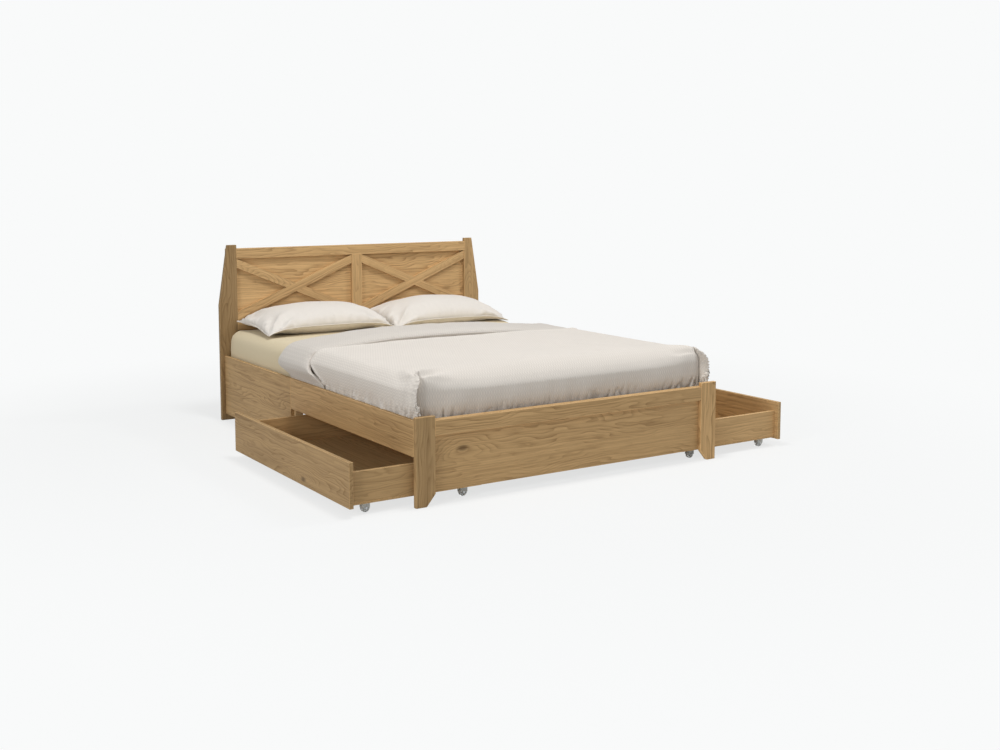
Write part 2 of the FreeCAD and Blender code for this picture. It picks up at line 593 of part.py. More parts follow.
def bedding():
    rounded_block("mattress", (f"-{MATTRESS_HALF}", MATTRESS_HALF), (MATTRESS_FOOT, MATTRESS_HEAD),
                  (MATTRESS_BOTTOM, MATTRESS_TOP), "mattress_round", "mattress_edge")
    over = f"({MATTRESS_TOP} + soft_gap)"
    reach = f"({MATTRESS_HALF} + soft_gap)"
    outer = f"({reach} + duvet_side)"
    foot = f"({MATTRESS_FOOT} - soft_gap)"
    pillow_head = f"({HEAD_INNER} - pillow_head_gap)"
    pillow_foot = f"({pillow_head} - pillow_depth)"
    fold = f"({pillow_foot} - duvet_pillow_gap)"
    top = f"({over} + duvet_top)"
    cover = plain_box("duvet_cover", (f"-{outer}", outer), (f"({foot} - duvet_side)", fold),
                      ("duvet_tuck_bottom", top))
    turned = plain_box("duvet_turned", (f"-{outer}", outer), (f"({fold} - duvet_fold_length)", fold),
                       (over, f"({top} + duvet_fold)"))
    hollow = plain_box("duvet_hollow", (f"-{reach}", reach), (foot, f"({fold} + duvet_side)"),
                       ("duvet_tuck_bottom - duvet_top", over))
    duvet = doc.addObject("Part::Cut", "duvet")
    duvet.Base = fused("duvet_outer", [cover, turned])
    duvet.Tool = hollow
    keep(duvet, "duvet")
    for side, sign in SIDES:
        x = mirrored(sign, "pillow_gap / 2", f"({MATTRESS_HALF} - pillow_side_gap)")
        rounded_block(f"pillow_{side}", x, (pillow_foot, pillow_head),
                      (over, f"({over} + pillow_height)"), "pillow_height / 2", "pillow_height / 2.2")


footboard()
headboard()
for side, sign in SIDES:
    side_frame(side, sign)
platform()
corner_brackets()
for side, sign in SIDES:
    drawer(side, sign)
bedding()
doc.recompute()

for thing in doc.Objects:
    if {"Invalid", "Error"} & set(thing.State):
        raise RuntimeError(f"{thing.Label} failed: {thing.State}")
labels = [piece.Label for piece in pieces]
if len(set(labels)) != len(labels):
    raise RuntimeError("two sub-parts share a label")
for piece in pieces:
    if piece.Shape.isNull() or not piece.Shape.isValid() or not piece.Shape.Solids:
        raise RuntimeError(f"{piece.Label} has no valid solid")
os.makedirs("parts", exist_ok=True)
for piece in pieces:
    piece.Shape.exportStep(f"parts/{piece.Label}.step")
print(len(pieces), "sub-parts written")
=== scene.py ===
"""Dresses a platform bed: oak boards, caster drawers, mattress, pillows and a turned-back duvet."""

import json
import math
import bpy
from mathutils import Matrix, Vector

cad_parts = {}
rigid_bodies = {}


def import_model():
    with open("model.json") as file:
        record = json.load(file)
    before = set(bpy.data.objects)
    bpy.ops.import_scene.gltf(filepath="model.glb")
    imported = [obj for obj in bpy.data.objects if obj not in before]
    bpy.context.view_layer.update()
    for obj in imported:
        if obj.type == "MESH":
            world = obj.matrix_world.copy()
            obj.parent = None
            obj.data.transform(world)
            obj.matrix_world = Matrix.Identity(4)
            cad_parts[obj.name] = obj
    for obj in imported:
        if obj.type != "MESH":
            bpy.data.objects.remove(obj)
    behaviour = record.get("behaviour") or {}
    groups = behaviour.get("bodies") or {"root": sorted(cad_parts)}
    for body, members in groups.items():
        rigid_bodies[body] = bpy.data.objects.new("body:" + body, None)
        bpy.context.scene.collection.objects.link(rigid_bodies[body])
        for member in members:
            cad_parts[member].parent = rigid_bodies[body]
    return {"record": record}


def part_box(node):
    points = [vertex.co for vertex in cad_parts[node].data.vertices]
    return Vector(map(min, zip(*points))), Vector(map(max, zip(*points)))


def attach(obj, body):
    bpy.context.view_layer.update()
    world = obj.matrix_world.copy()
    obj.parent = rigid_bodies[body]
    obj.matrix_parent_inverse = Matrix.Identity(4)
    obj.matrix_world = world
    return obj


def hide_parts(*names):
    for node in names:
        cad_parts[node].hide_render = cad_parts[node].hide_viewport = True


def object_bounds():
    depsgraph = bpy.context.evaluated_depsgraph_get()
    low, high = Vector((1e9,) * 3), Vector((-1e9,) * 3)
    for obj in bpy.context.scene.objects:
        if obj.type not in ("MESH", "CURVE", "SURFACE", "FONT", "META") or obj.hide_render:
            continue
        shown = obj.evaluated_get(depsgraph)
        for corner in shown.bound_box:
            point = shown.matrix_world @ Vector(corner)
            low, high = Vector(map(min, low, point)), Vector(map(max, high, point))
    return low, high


bl_info = {
    "name": "Storage Bed Dresser",
    "version": (1, 0, 0),
    "blender": (4, 5, 0),
    "location": "View3D > Sidebar > Storage Bed",
    "description": "Finishes a storage bed's boards and casters and adds its bedding and stage",
    "category": "Object",
}

import bmesh
import bpy
from bpy.props import FloatProperty, FloatVectorProperty, PointerProperty
from mathutils import Matrix, Vector, kdtree, noise

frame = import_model()
CAD_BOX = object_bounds()


def node_box(node):
    """The lowest and highest corners of a CAD node."""
    low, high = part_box(node)
    return Vector(low), Vector(high)


def smooth(low, high, value):
    """A soft step from 0 at low to 1 at high, which may run either way."""
    share = min(1.0, max(0.0, (value - low) / (high - low)))
    return share * share * (3 - 2 * share)


def mix(a, b, share):
    """The value that lies a share of the way from a to b."""
    return a + (b - a) * share


def bell(value, width):
    """1 at a value of zero, falling off smoothly on both sides over about a width."""
    return math.exp(-(value / width) ** 2)


def tone(red, green, blue):
    """An sRGB colour from 0 to 255 as the linear colour that shaders use."""
    def linear(value):
        value /= 255
        return value / 12.92 if value <= 0.04045 else ((value + 0.055) / 1.055) ** 2.4
    return (linear(red), linear(green), linear(blue))


def wobble(x, y, z, size, seed=0.0):
    """Smooth noise from about -1 to 1 whose bumps are about size metres across."""
    return noise.noise(Vector((x / size + seed * 7.13, y / size - seed * 3.71, z / size + seed)))


# ---------------------------------------------------------------- settings

class BedColours(bpy.types.PropertyGroup):
    """Colours of the bed's finishes."""
    oak_light: FloatVectorProperty(
        name="Oak, light", description="Pale wood between the growth rings", subtype="COLOR",
        size=3, min=0, max=1, default=tone(219, 182, 130))
    oak_dark: FloatVectorProperty(
        name="Oak, dark", description="Darker wood of the growth rings", subtype="COLOR",
        size=3, min=0, max=1, default=tone(124, 91, 54))
    oak_knot: FloatVectorProperty(
        name="Oak, knots", description="Heart of the knots", subtype="COLOR",
        size=3, min=0, max=1, default=tone(74, 50, 28))
    pine: FloatVectorProperty(
        name="Pine", description="Slats and hidden timber", subtype="COLOR",
        size=3, min=0, max=1, default=tone(214, 184, 138))
    mattress: FloatVectorProperty(
        name="Mattress sheet", description="Fitted sheet on the mattress", subtype="COLOR",
        size=3, min=0, max=1, default=tone(226, 211, 178))
    duvet: FloatVectorProperty(
        name="Duvet", description="Duvet cover", subtype="COLOR",
        size=3, min=0, max=1, default=tone(235, 228, 219))
    pillow: FloatVectorProperty(
        name="Pillow", description="Pillow cases", subtype="COLOR",
        size=3, min=0, max=1, default=tone(232, 226, 218))
    wheel: FloatVectorProperty(
        name="Wheel", description="Milky plastic of the caster wheels", subtype="COLOR",
        size=3, min=0, max=1, default=tone(244, 246, 245))
    fork: FloatVectorProperty(
        name="Fork", description="Moulded plastic of the caster forks", subtype="COLOR",
        size=3, min=0, max=1, default=tone(224, 227, 224))
    backdrop: FloatVectorProperty(
        name="Backdrop", description="Floor and background", subtype="COLOR",
        size=3, min=0, max=1, default=tone(249, 250, 250))


class BeddingSizes(bpy.types.PropertyGroup):
    """Sizes of the bedding, in metres."""
    duvet_loft: FloatProperty(
        name="Duvet loft", description="Height of the duvet above the mattress",
        unit="LENGTH", min=0.005, max=0.1, default=0.024)
    turn_loft: FloatProperty(
        name="Turned part", description="Extra height of the part that is folded back",
        unit="LENGTH", min=0.005, max=0.1, default=0.038)
    turn_length: FloatProperty(
        name="Turned length", description="Fold to the hem of the part that is folded back",
        unit="LENGTH", min=0.05, max=0.8, default=0.29)
    edge_radius: FloatProperty(
        name="Edge radius", description="Bend of the duvet over the edge of the mattress",
        unit="LENGTH", min=0.01, max=0.15, default=0.062)
    cover_step: FloatProperty(
        name="Cover step", description="Mesh spacing of the duvet",
        unit="LENGTH", min=0.005, max=0.05, default=0.0095)
    piping: FloatProperty(
        name="Piping", description="Radius of the piped seam of the pillow cases",
        unit="LENGTH", min=0.0005, max=0.01, default=0.0024)


class StageSettings(bpy.types.PropertyGroup):
    """Camera and lamps."""
    focal: FloatProperty(
        name="Focal length", description="Lens of the camera in millimetres",
        min=10, max=200, default=43.23)
    camera_rise: FloatProperty(
        name="Camera height", description="Camera above the floor",
        unit="LENGTH", min=0.1, max=5, default=1.304)
    sky: FloatProperty(
        name="Sky", description="Strength of the even light from all round",
        min=0, max=2, default=0.36)
    key: FloatProperty(
        name="Ceiling light", description="Power of the soft light over the bed",
        min=0, max=1000, default=86)
    side: FloatProperty(
        name="Side light", description="Power of the soft light from the left",
        min=0, max=1000, default=112)
    right: FloatProperty(
        name="Right light", description="Power of the small light high on the right",
        min=0, max=1000, default=50)
    front: FloatProperty(
        name="Front light", description="Power of the soft light from the foot end",
        min=0, max=1000, default=2)


SETTINGS = (("bed_colours", BedColours), ("bed_bedding", BeddingSizes), ("bed_stage", StageSettings))


# ---------------------------------------------------------------- shader help

class Shader:
    """Adds and links the nodes of one node tree."""

    def __init__(self, tree):
        self.tree = tree

    def add(self, kind, inputs=None, **settings):
        node = self.tree.nodes.new("ShaderNode" + kind)
        for name, value in settings.items():
            setattr(node, name, value)
        for name, value in (inputs or {}).items():
            self.feed(node.inputs[name], value)
        return node

    def feed(self, socket, value):
        if isinstance(value, bpy.types.NodeSocket):
            self.tree.links.new(value, socket)
        else:
            socket.default_value = value

    def math(self, operation, a, b=0.0, c=0.0):
        return self.add("Math", {0: a, 1: b, 2: c}, operation=operation).outputs[0]

    def vector(self, operation, a, b=(0, 0, 0)):
        return self.add("VectorMath", {0: a, 1: b}, operation=operation).outputs[0]

    def step(self, low, high, value):
        """0 below low, 1 above high, soft between; low may be the larger."""
        node = self.add("MapRange", {"Value": value, "From Min": low, "From Max": high},
                        interpolation_type="SMOOTHSTEP")
        return node.outputs["Result"]

    def noise(self, vector, scale, detail=2.0, roughness=0.5):
        return self.add("TexNoise", {"Vector": vector, "Scale": scale, "Detail": detail,
                                     "Roughness": roughness}).outputs[0]

    def blend(self, share, a, b):
        node = self.add("Mix", data_type="RGBA")
        self.feed(node.inputs[0], share)
        self.feed(node.inputs[6], a)
        self.feed(node.inputs[7], b)
        return node.outputs[2]


def rgba(colour):
    return (*colour, 1.0)


def new_material(name):
    """An empty node material with its surface shader."""
    material = bpy.data.materials.new(name)
    material.use_nodes = True
    material.node_tree.nodes.clear()
    shader = Shader(material.node_tree)
    surface = shader.add("BsdfPrincipled")
    output = shader.add("OutputMaterial", {"Surface": surface.outputs[0]})
    output.location = (600, 0)
    return material, shader, surface


def scaled(shader, vector, scale):
    return shader.vector("MULTIPLY", vector, scale)


# ---------------------------------------------------------------- wood

def oak_group():
    """Growth rings, knots and pores of a flat-sawn board whose grain runs along X."""
    tree = bpy.data.node_groups.new("Flat-sawn oak", "ShaderNodeTree")
    for name, kind in (("Board", "NodeSocketVector"), ("Shift", "NodeSocketVector")):
        tree.interface.new_socket(name, in_out="INPUT", socket_type=kind)
    for name in ("Ring", "Knot", "Streak", "Pore", "Cloud"):
        tree.interface.new_socket(name, in_out="OUTPUT", socket_type="NodeSocketFloat")
    s = Shader(tree)
    given = tree.nodes.new("NodeGroupInput")
    result = tree.nodes.new("NodeGroupOutput")
    board = given.outputs["Board"]
    moved = s.vector("ADD", board, given.outputs["Shift"])

    cloud = s.noise(scaled(s, moved, (1.1, 6.0, 6.0)), 1.0, 3.0, 0.6)
    waver = s.noise(scaled(s, moved, (2.2, 17.0, 17.0)), 1.0, 3.0, 0.55)
    ripple = s.noise(scaled(s, moved, (17.0, 48.0, 48.0)), 1.0, 2.0)
    cells = s.add("TexVoronoi", {"Vector": scaled(s, moved, (2.3, 5.2, 0.8)), "Scale": 1.0},
                  feature="F1")
    away = s.math("MULTIPLY_ADD", waver, 0.05, cells.outputs["Distance"])
    chosen = s.step(0.45, 0.5, s.add("SeparateXYZ", {0: cells.outputs["Color"]}).outputs[0])
    reach = s.math("MULTIPLY", s.step(0.48, 0.0, away), chosen)

    split = s.add("SeparateXYZ", {0: board})
    across = s.math("MULTIPLY_ADD", s.math("SUBTRACT", cloud, 0.5), 0.26, split.outputs[1])
    folded = s.math("PINGPONG", s.math("ADD", across, 0.55), 0.16)
    depth = s.math("ADD", split.outputs[2], 0.04)
    radius = s.math("SQRT", s.math("MULTIPLY_ADD", folded, folded, s.math("MULTIPLY", depth, depth)))
    pushed = s.math("MULTIPLY_ADD", reach, 0.075, radius)
    rings = s.math("MULTIPLY_ADD", waver, 1.7, s.math("MULTIPLY", pushed, 66.0))
    rings = s.math("MULTIPLY_ADD", ripple, 0.35, rings)
    place = s.math("FRACT", rings)
    line = s.math("MULTIPLY", s.math("POWER", place, 2.6), s.step(1.0, 0.9, place))
    shown = s.step(0.30, 0.66, s.noise(scaled(s, moved, (1.7, 11.0, 11.0)), 1.0, 2.0))
    ring = s.math("MULTIPLY", line, s.math("MULTIPLY_ADD", shown, 0.75, 0.25))

    knot = s.math("MULTIPLY", s.step(0.115, 0.04, away), chosen)
    streak = s.step(0.34, 0.68, s.noise(scaled(s, moved, (1.7, 105.0, 105.0)), 1.0, 4.0, 0.7))
    pores = s.noise(scaled(s, moved, (13.0, 430.0, 430.0)), 1.0, 2.0, 0.65)
    pore = s.step(0.52, 0.70, pores)
    outputs = (("Ring", ring), ("Knot", knot), ("Streak", streak), ("Pore", pore), ("Cloud", cloud))
    for name, value in outputs:
        tree.links.new(value, result.inputs[name])
    return tree


def board_frame(node, grain):
    """Centre and turn of a board, so that its grain lies along X and its thickness along Z.

    The grain runs along the given axis, or along the board's longest side.
    """
    low, high = node_box(node)
    size = high - low
    order = sorted(range(3), key=lambda i: size[i])
    thickness = order[0]
    if grain is None:
        grain = order[2]
    width = 3 - thickness - grain if thickness != grain else order[1]
    axes = [Vector((0, 0, 0)) for _ in range(3)]
    axes[0][grain] = 1
    axes[1][width] = 1
    axes[2] = axes[0].cross(axes[1])
    turn = Matrix(axes).transposed().to_euler()
    return (low + high) / 2, turn


def wood_material(name, group, centre, turn, seed, colours, lit_banded_edges=True, strength=1.0):
    """A board's own material: shared grain, centred and turned on the board."""
    light, dark, heart = colours
    material, s, surface = new_material(name)
    place = s.add("Mapping", {"Vector": s.add("TexCoord").outputs["Object"],
                              "Location": centre, "Rotation": turn}, vector_type="TEXTURE")
    grain = s.add("Group")
    grain.node_tree = group
    s.feed(grain.inputs["Board"], place.outputs[0])
    grain.inputs["Shift"].default_value = (seed * 1.37 % 7, seed * 2.11 % 5, seed * 0.73 % 3)
    ring, knot = grain.outputs["Ring"], grain.outputs["Knot"]
    pore, cloud = grain.outputs["Pore"], grain.outputs["Cloud"]
    share = s.math("MULTIPLY", s.step(0.30, 0.70, cloud), 0.15 * strength)
    share = s.math("MULTIPLY_ADD", ring, 0.50 * strength, share)
    share = s.math("MULTIPLY_ADD", grain.outputs["Streak"], 0.30 * strength, share)
    share = s.math("MULTIPLY_ADD", pore, 0.14 * strength, share)
    colour = s.blend(s.math("MINIMUM", share, 1.0), rgba(light), rgba(dark))
    colour = s.blend(s.math("MULTIPLY", knot, 0.7 * strength), colour, rgba(heart))
    # Chamfered edges, where the true normal leans off the board's axes, are made paler: partly the lighter
    # edge banding, partly a painted highlight of the arrises catching the light.
    if lit_banded_edges:
        facing = s.add("NewGeometry").outputs["True Normal"]
        flat = s.add("SeparateXYZ", {0: s.vector("ABSOLUTE", facing)})
        most = s.math("MAXIMUM", s.math("MAXIMUM", flat.outputs[0], flat.outputs[1]), flat.outputs[2])
        pale = tuple(min(1.0, c * 1.25) for c in light)
        colour = s.blend(s.math("MULTIPLY", s.step(0.97, 0.8, most), 0.6), colour, rgba(pale))
    s.feed(surface.inputs["Base Color"], colour)
    s.feed(surface.inputs["Roughness"], s.math("MULTIPLY_ADD", ring, 0.12, 0.55))
    surface.inputs["Specular IOR Level"].default_value = 0.16
    height = s.math("MULTIPLY_ADD", pore, -0.5, s.math("MULTIPLY", ring, -0.35))
    bump = s.add("Bump", {"Height": height, "Strength": 0.25, "Distance": 0.0006})
    s.feed(surface.inputs["Normal"], bump.outputs[0])
    return material


def finish_node(node, material):
    """Give a CAD node one material all over."""
    obj = bpy.data.objects[node]
    obj.data.materials.clear()
    obj.data.materials.append(material)


def slot_nodes(*slots):
    """The CAD nodes of the given material slots, in the record's order."""
    return [part["node"] for part in frame["record"]["subparts"] if part["material_slot"] in slots]


BRACE_WIDTH = 0.045


def brace_turn(node):
    """Centre and turn of a cross brace, whose grain follows its slope."""
    low, high = node_box(node)
    size = high - low
    rise = math.atan2(size.z - BRACE_WIDTH, size.x)
    if node.endswith("falling"):
        rise = -rise
    along = Vector((math.cos(rise), 0, math.sin(rise)))
    axes = [along, Vector((-along.z, 0, along.x)), Vector((0, -1, 0))]
    return (low + high) / 2, Matrix(axes).transposed().to_euler()


# Brightness of each board beside the palette: partly real tone, partly painted light and shade that
# lightens or darkens a board by how its face is lit.
BOARD_TONES_AND_LIGHT = (
    ("headboard_post_right", 0.80), ("headboard_post", 0.54), ("headboard_panel", 1.08),
    ("headboard_top", 0.98), ("headboard", 0.94), ("brace", 0.98),
    ("footboard_post_left", 0.72), ("footboard_post_right", 1.12), ("footboard", 1.02),
    ("side_panel", 0.80), ("side_rail", 0.88), ("drawer_left_front", 0.70), ("drawer_left", 0.84),
    ("drawer_right_side", 1.10), ("drawer", 0.94))


def board_tone_and_light(node):
    """How light a board is beside the palette: partly the boards' own differing tone, partly painted light
    and shade for how brightly each board's face is lit.
    """
    return next((shade for start, shade in BOARD_TONES_AND_LIGHT if node.startswith(start)), 1.0)


class BED_OT_oak_boards(bpy.types.Operator):
    """Give every visible board an oak finish with grain along its length"""
    bl_idname = "bed.oak_boards"
    bl_label = "Oak Boards"

    def execute(self, context):
        colours = context.scene.bed_colours
        group = oak_group()
        palette = (colours.oak_light, colours.oak_dark, colours.oak_knot)
        for seed, node in enumerate(slot_nodes("oak_board", "drawer_board"), start=3):
            if node.startswith("brace"):
                centre, turn = brace_turn(node)
            else:
                centre, turn = board_frame(node, None)
            plain = "drawer_" in node and not node.endswith("front")
            # Scale the palette by the board's tone, which carries painted light and shade.
            shade = board_tone_and_light(node) * (1.0 + 0.05 * wobble(seed * 3.3, 0.4, 0.7, 1.0))
            own = [tuple(min(1.0, c * shade) for c in colour) for colour in palette]
            finish_node(node, wood_material("oak " + node, group, centre, turn, seed, own,
                                            lit_banded_edges=not node.startswith("brace"),
                                            strength=0.75 if plain else 1.0))
        return {"FINISHED"}


class BED_OT_hidden_timber(bpy.types.Operator):
    """Give the slats, ledgers, beam and legs a planed pine finish"""
    bl_idname = "bed.hidden_timber"
    bl_label = "Hidden Timber"

    def execute(self, context):
        pine = context.scene.bed_colours.pine
        group = bpy.data.node_groups["Flat-sawn oak"]
        own = (tuple(pine), tuple(c * 0.66 for c in pine), tuple(c * 0.36 for c in pine))
        for seed, node in enumerate(slot_nodes("pine"), start=40):
            centre, turn = board_frame(node, 0 if node == "slats" else None)
            finish_node(node, wood_material("pine " + node, group, centre, turn, seed, own,
                                            lit_banded_edges=False, strength=0.7))
        return {"FINISHED"}


# ---------------------------------------------------------------- metal and plastic

def steel_material():
    """Zinc plate with its faint spangle and drawn streaks."""
    material, s, surface = new_material("zinc-plated steel")
    where = s.add("TexCoord").outputs["Object"]
    spangle = s.add("TexVoronoi", {"Vector": where, "Scale": 160.0}, feature="F1")
    streak = s.noise(scaled(s, where, (40.0, 40.0, 600.0)), 1.0, 2.0)
    share = s.math("MULTIPLY", s.add("SeparateXYZ", {0: spangle.outputs["Color"]}).outputs[0], 0.5)
    s.feed(surface.inputs["Base Color"],
           s.blend(share, rgba(tone(176, 178, 180)), rgba(tone(204, 205, 204))))
    surface.inputs["Metallic"].default_value = 1.0
    s.feed(surface.inputs["Roughness"], s.math("MULTIPLY_ADD", streak, 0.2, 0.28))
    return material


def plastic_material(name, colour, milky, rough):
    """Moulded plastic with a faint flow pattern and scuffs; milky lets some light through."""
    material, s, surface = new_material(name)
    where = s.add("TexCoord").outputs["Object"]
    flow = s.noise(where, 60.0, 3.0)
    scuff = s.step(0.60, 0.72, s.noise(scaled(s, where, (90.0, 300.0, 90.0)), 1.0, 2.0))
    dull = tuple(c * 0.93 for c in colour)
    s.feed(surface.inputs["Base Color"],
           s.blend(s.math("MULTIPLY_ADD", flow, 0.6, s.math("MULTIPLY", scuff, 0.4)),
                   rgba(colour), rgba(dull)))
    s.feed(surface.inputs["Roughness"], s.math("MULTIPLY_ADD", scuff, 0.2, rough))
    surface.inputs["Transmission Weight"].default_value = milky
    surface.inputs["IOR"].default_value = 1.3
    s.feed(surface.inputs["Normal"],
           s.add("Bump", {"Height": flow, "Strength": 0.06, "Distance": 0.0003}).outputs[0])
    return material


def tape_material():
    """Woven polyester tape."""
    material, s, surface = new_material("woven tape")
    where = s.add("TexCoord").outputs["Object"]
    warp = s.add("TexWave", {"Vector": where, "Scale": 300.0}, bands_direction="X").outputs["Fac"]
    weft = s.add("TexWave", {"Vector": where, "Scale": 220.0}, bands_direction="Y").outputs["Fac"]
    weave = s.math("MULTIPLY", warp, weft)
    s.feed(surface.inputs["Base Color"],
           s.blend(weave, rgba(tone(196, 192, 182)), rgba(tone(228, 225, 216))))
    surface.inputs["Roughness"].default_value = 0.9
    s.feed(surface.inputs["Normal"],
           s.add("Bump", {"Height": weave, "Strength": 0.4, "Distance": 0.0004}).outputs[0])
    return material


class BED_OT_fittings(bpy.types.Operator):
    """Finish the steel fittings, the caster forks and wheels and the slat straps"""
    bl_idname = "bed.fittings"
    bl_label = "Fittings and Casters"

    def execute(self, context):
        colours = context.scene.bed_colours
        finishes = {"steel": steel_material(),
                    "wheel_plastic": plastic_material("milky nylon", colours.wheel, 0.3, 0.42),
                    "fork_plastic": plastic_material("pale moulding", colours.fork, 0.25, 0.42),
                    "webbing": tape_material()}
        for slot, material in finishes.items():
            for node in slot_nodes(slot):
                finish_node(node, material)
        return {"FINISHED"}


# ---------------------------------------------------------------- cloth

def cloth_material(name, colour, cell, relief, fade, sheen, weave="dots"):
    """Cotton whose small woven pattern follows the piece's own flat coordinates."""
    material, s, surface = new_material(name)
    flat = s.add("UVMap").outputs[0]
    where = s.add("TexCoord").outputs["Object"]
    fibre = s.noise(scaled(s, flat, (900.0, 900.0, 1.0)), 1.0, 2.0, 0.6)
    split = s.add("SeparateXYZ", {0: flat})
    turn = 2 * math.pi / cell
    side = s.math("SINE", s.math("MULTIPLY", split.outputs[0], turn))
    along = s.math("SINE", s.math("MULTIPLY", split.outputs[1], turn / 2))
    if weave == "dots":
        dots = s.math("MULTIPLY", side, s.math("MULTIPLY_ADD", along, 0.75, 0.40))
        pattern = s.step(-0.5, 0.8, dots)
    else:
        pattern = s.step(-0.8, 0.8, side)
    patch = s.noise(where, 5.0, 2.0)
    dark = tuple(c * fade for c in colour)
    share = s.math("MULTIPLY_ADD", pattern, -0.55, 0.60)
    share = s.math("MULTIPLY_ADD", patch, 0.25, share)
    share = s.math("MULTIPLY_ADD", fibre, 0.2, s.math("SUBTRACT", share, 0.12))
    s.feed(surface.inputs["Base Color"], s.blend(share, rgba(colour), rgba(dark)))
    surface.inputs["Roughness"].default_value = 0.92
    surface.inputs["Specular IOR Level"].default_value = 0.2
    surface.inputs["Sheen Weight"].default_value = sheen
    surface.inputs["Sheen Roughness"].default_value = 0.5
    height = s.math("MULTIPLY_ADD", fibre, 0.25, pattern)
    s.feed(surface.inputs["Normal"],
           s.add("Bump", {"Height": height, "Strength": 0.5, "Distance": relief}).outputs[0])
    return material


def deselect():
    for obj in bpy.context.selected_objects:
        obj.select_set(False)


def only(obj):
    """Make an object the one selected and active object."""
    deselect()
    obj.select_set(True)
    bpy.context.view_layer.objects.active = obj


def apply_modifiers(obj):
    only(obj)
    for modifier in list(obj.modifiers):
        bpy.ops.object.modifier_apply(modifier=modifier.name)


def settle(obj):
    """Put the object at the origin, with its place in its mesh."""
    only(obj)
    bpy.ops.object.transform_apply(location=True, rotation=True, scale=True)


def outward(obj):
    """Merge doubled points and turn all faces outwards."""
    only(obj)
    bpy.ops.object.mode_set(mode="EDIT")
    bpy.ops.mesh.select_all(action="SELECT")
    bpy.ops.mesh.remove_doubles(threshold=0.00005)
    bpy.ops.mesh.normals_make_consistent(inside=False)
    bpy.ops.object.mode_set(mode="OBJECT")


def grid(name, columns, rows):
    """A flat grid from -1 to 1 each way, with its UV map, ready to be shaped."""
    deselect()
    bpy.ops.mesh.primitive_grid_add(x_subdivisions=columns, y_subdivisions=rows, size=2)
    obj = bpy.context.object
    obj.name = name
    return obj


def shape_grid(obj, place):
    """Move each point of a grid to place(u, v), and lay its UV map out flat in metres."""
    mesh = obj.data
    flat = {}
    for point in mesh.vertices:
        u, v = point.co.x, point.co.y
        point.co, flat[point.index] = place(u, v)
    uv = mesh.uv_layers.active.data
    for loop in mesh.loops:
        uv[loop.index].uv = flat[loop.vertex_index]


def dress(obj, material, node=None):
    """Finish a bedding piece: material, smooth shading, slot, body and the node it stands for."""
    obj.data.materials.clear()
    obj.data.materials.append(material)
    only(obj)
    bpy.ops.object.shade_smooth()
    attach(obj, "root")
    if node:
        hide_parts(node)


class BED_OT_mattress(bpy.types.Operator):
    """Add the mattress in its fitted sheet"""
    bl_idname = "bed.mattress"
    bl_label = "Mattress"

    def execute(self, context):
        low, high = node_box("mattress")
        size, middle = high - low, (low + high) / 2
        deselect()
        bpy.ops.mesh.primitive_cube_add(size=1, location=middle, scale=size)
        obj = context.object
        obj.name = "mattress_sheeted"
        settle(obj)
        self.round_over(obj, low, high)
        self.crown(obj, low, high)
        outward(obj)
        dress(obj, cloth_material("cream jersey", context.scene.bed_colours.mattress, 0.004,
                                  0.0003, 0.94, 0.15, weave="rib"),
              "mattress")
        return {"FINISHED"}

    def round_over(self, obj, low, high):
        """Bevel the upright corners and then the rims, and cut the faces finely."""
        edit = bmesh.new()
        edit.from_mesh(obj.data)
        tall = high.z - low.z
        uprights = [e for e in edit.edges if abs(e.verts[0].co.z - e.verts[1].co.z) > tall / 2]
        bmesh.ops.bevel(edit, geom=uprights, offset=0.016, segments=6, profile=0.5, affect="EDGES")
        rims = [e for e in edit.edges if abs(e.verts[0].co.z - e.verts[1].co.z) < 1e-6
                and len({round(f.normal.z) for f in e.link_faces}) == 2]
        bmesh.ops.bevel(edit, geom=rims, offset=0.048, segments=8, profile=0.5, affect="EDGES")
        edit.to_mesh(obj.data)
        edit.free()
        only(obj)
        remesh = obj.modifiers.new("fine", "REMESH")
        remesh.mode = "VOXEL"
        remesh.voxel_size = 0.014
        apply_modifiers(obj)
        bpy.ops.object.mode_set(mode="EDIT")
        bpy.ops.mesh.select_all(action="SELECT")
        bpy.ops.uv.cube_project(cube_size=1.0, correct_aspect=False, scale_to_bounds=False)
        bpy.ops.mesh.vertices_smooth(factor=0.5, repeat=3)
        bpy.ops.object.mode_set(mode="OBJECT")

    def crown(self, obj, low, high):
        """Belly the sides, crease the sheet near the corners and press in what the duvet covers."""
        middle, half = (low + high) / 2, (high - low) / 2
        for point in obj.data.vertices:
            across = (point.co.x - middle.x) / half.x
            up = (point.co.z - middle.z) / half.z
            belly = mix(0.003, 0.013, smooth(0.20, 0.60, point.co.y)) * (1 - up * up)
            point.co.x += math.copysign(belly, across) * smooth(0.9, 1.0, abs(across))
            crease = wobble(point.co.x, point.co.y * 0.5, point.co.z * 2, 0.09, 2) * 0.0014
            near_end = smooth(high.y - 0.5, high.y, point.co.y)
            point.co.x += math.copysign(crease, across) * near_end
            point.co.z += wobble(point.co.x, point.co.y, 0, 0.35, 5) * 0.002
            covered = smooth(low.y + 0.42, low.y + 0.05, point.co.y) * smooth(low.z, high.z, point.co.z)
            point.co.z -= 0.034 * covered
            between = smooth(0.18, 0.28, point.co.y) * smooth(0.62, 0.54, point.co.y)
            dip = 0.010 * between * smooth(-0.4, 0.1, point.co.x)
            point.co.z -= dip * smooth(middle.z, high.z, point.co.z)
            point.co.y += 0.014 * smooth(low.y + 0.2, low.y, point.co.y)
            point.co.y += 0.028 * smooth(high.y - 0.5, high.y, point.co.y)


# ---------------------------------------------------------------- pillows

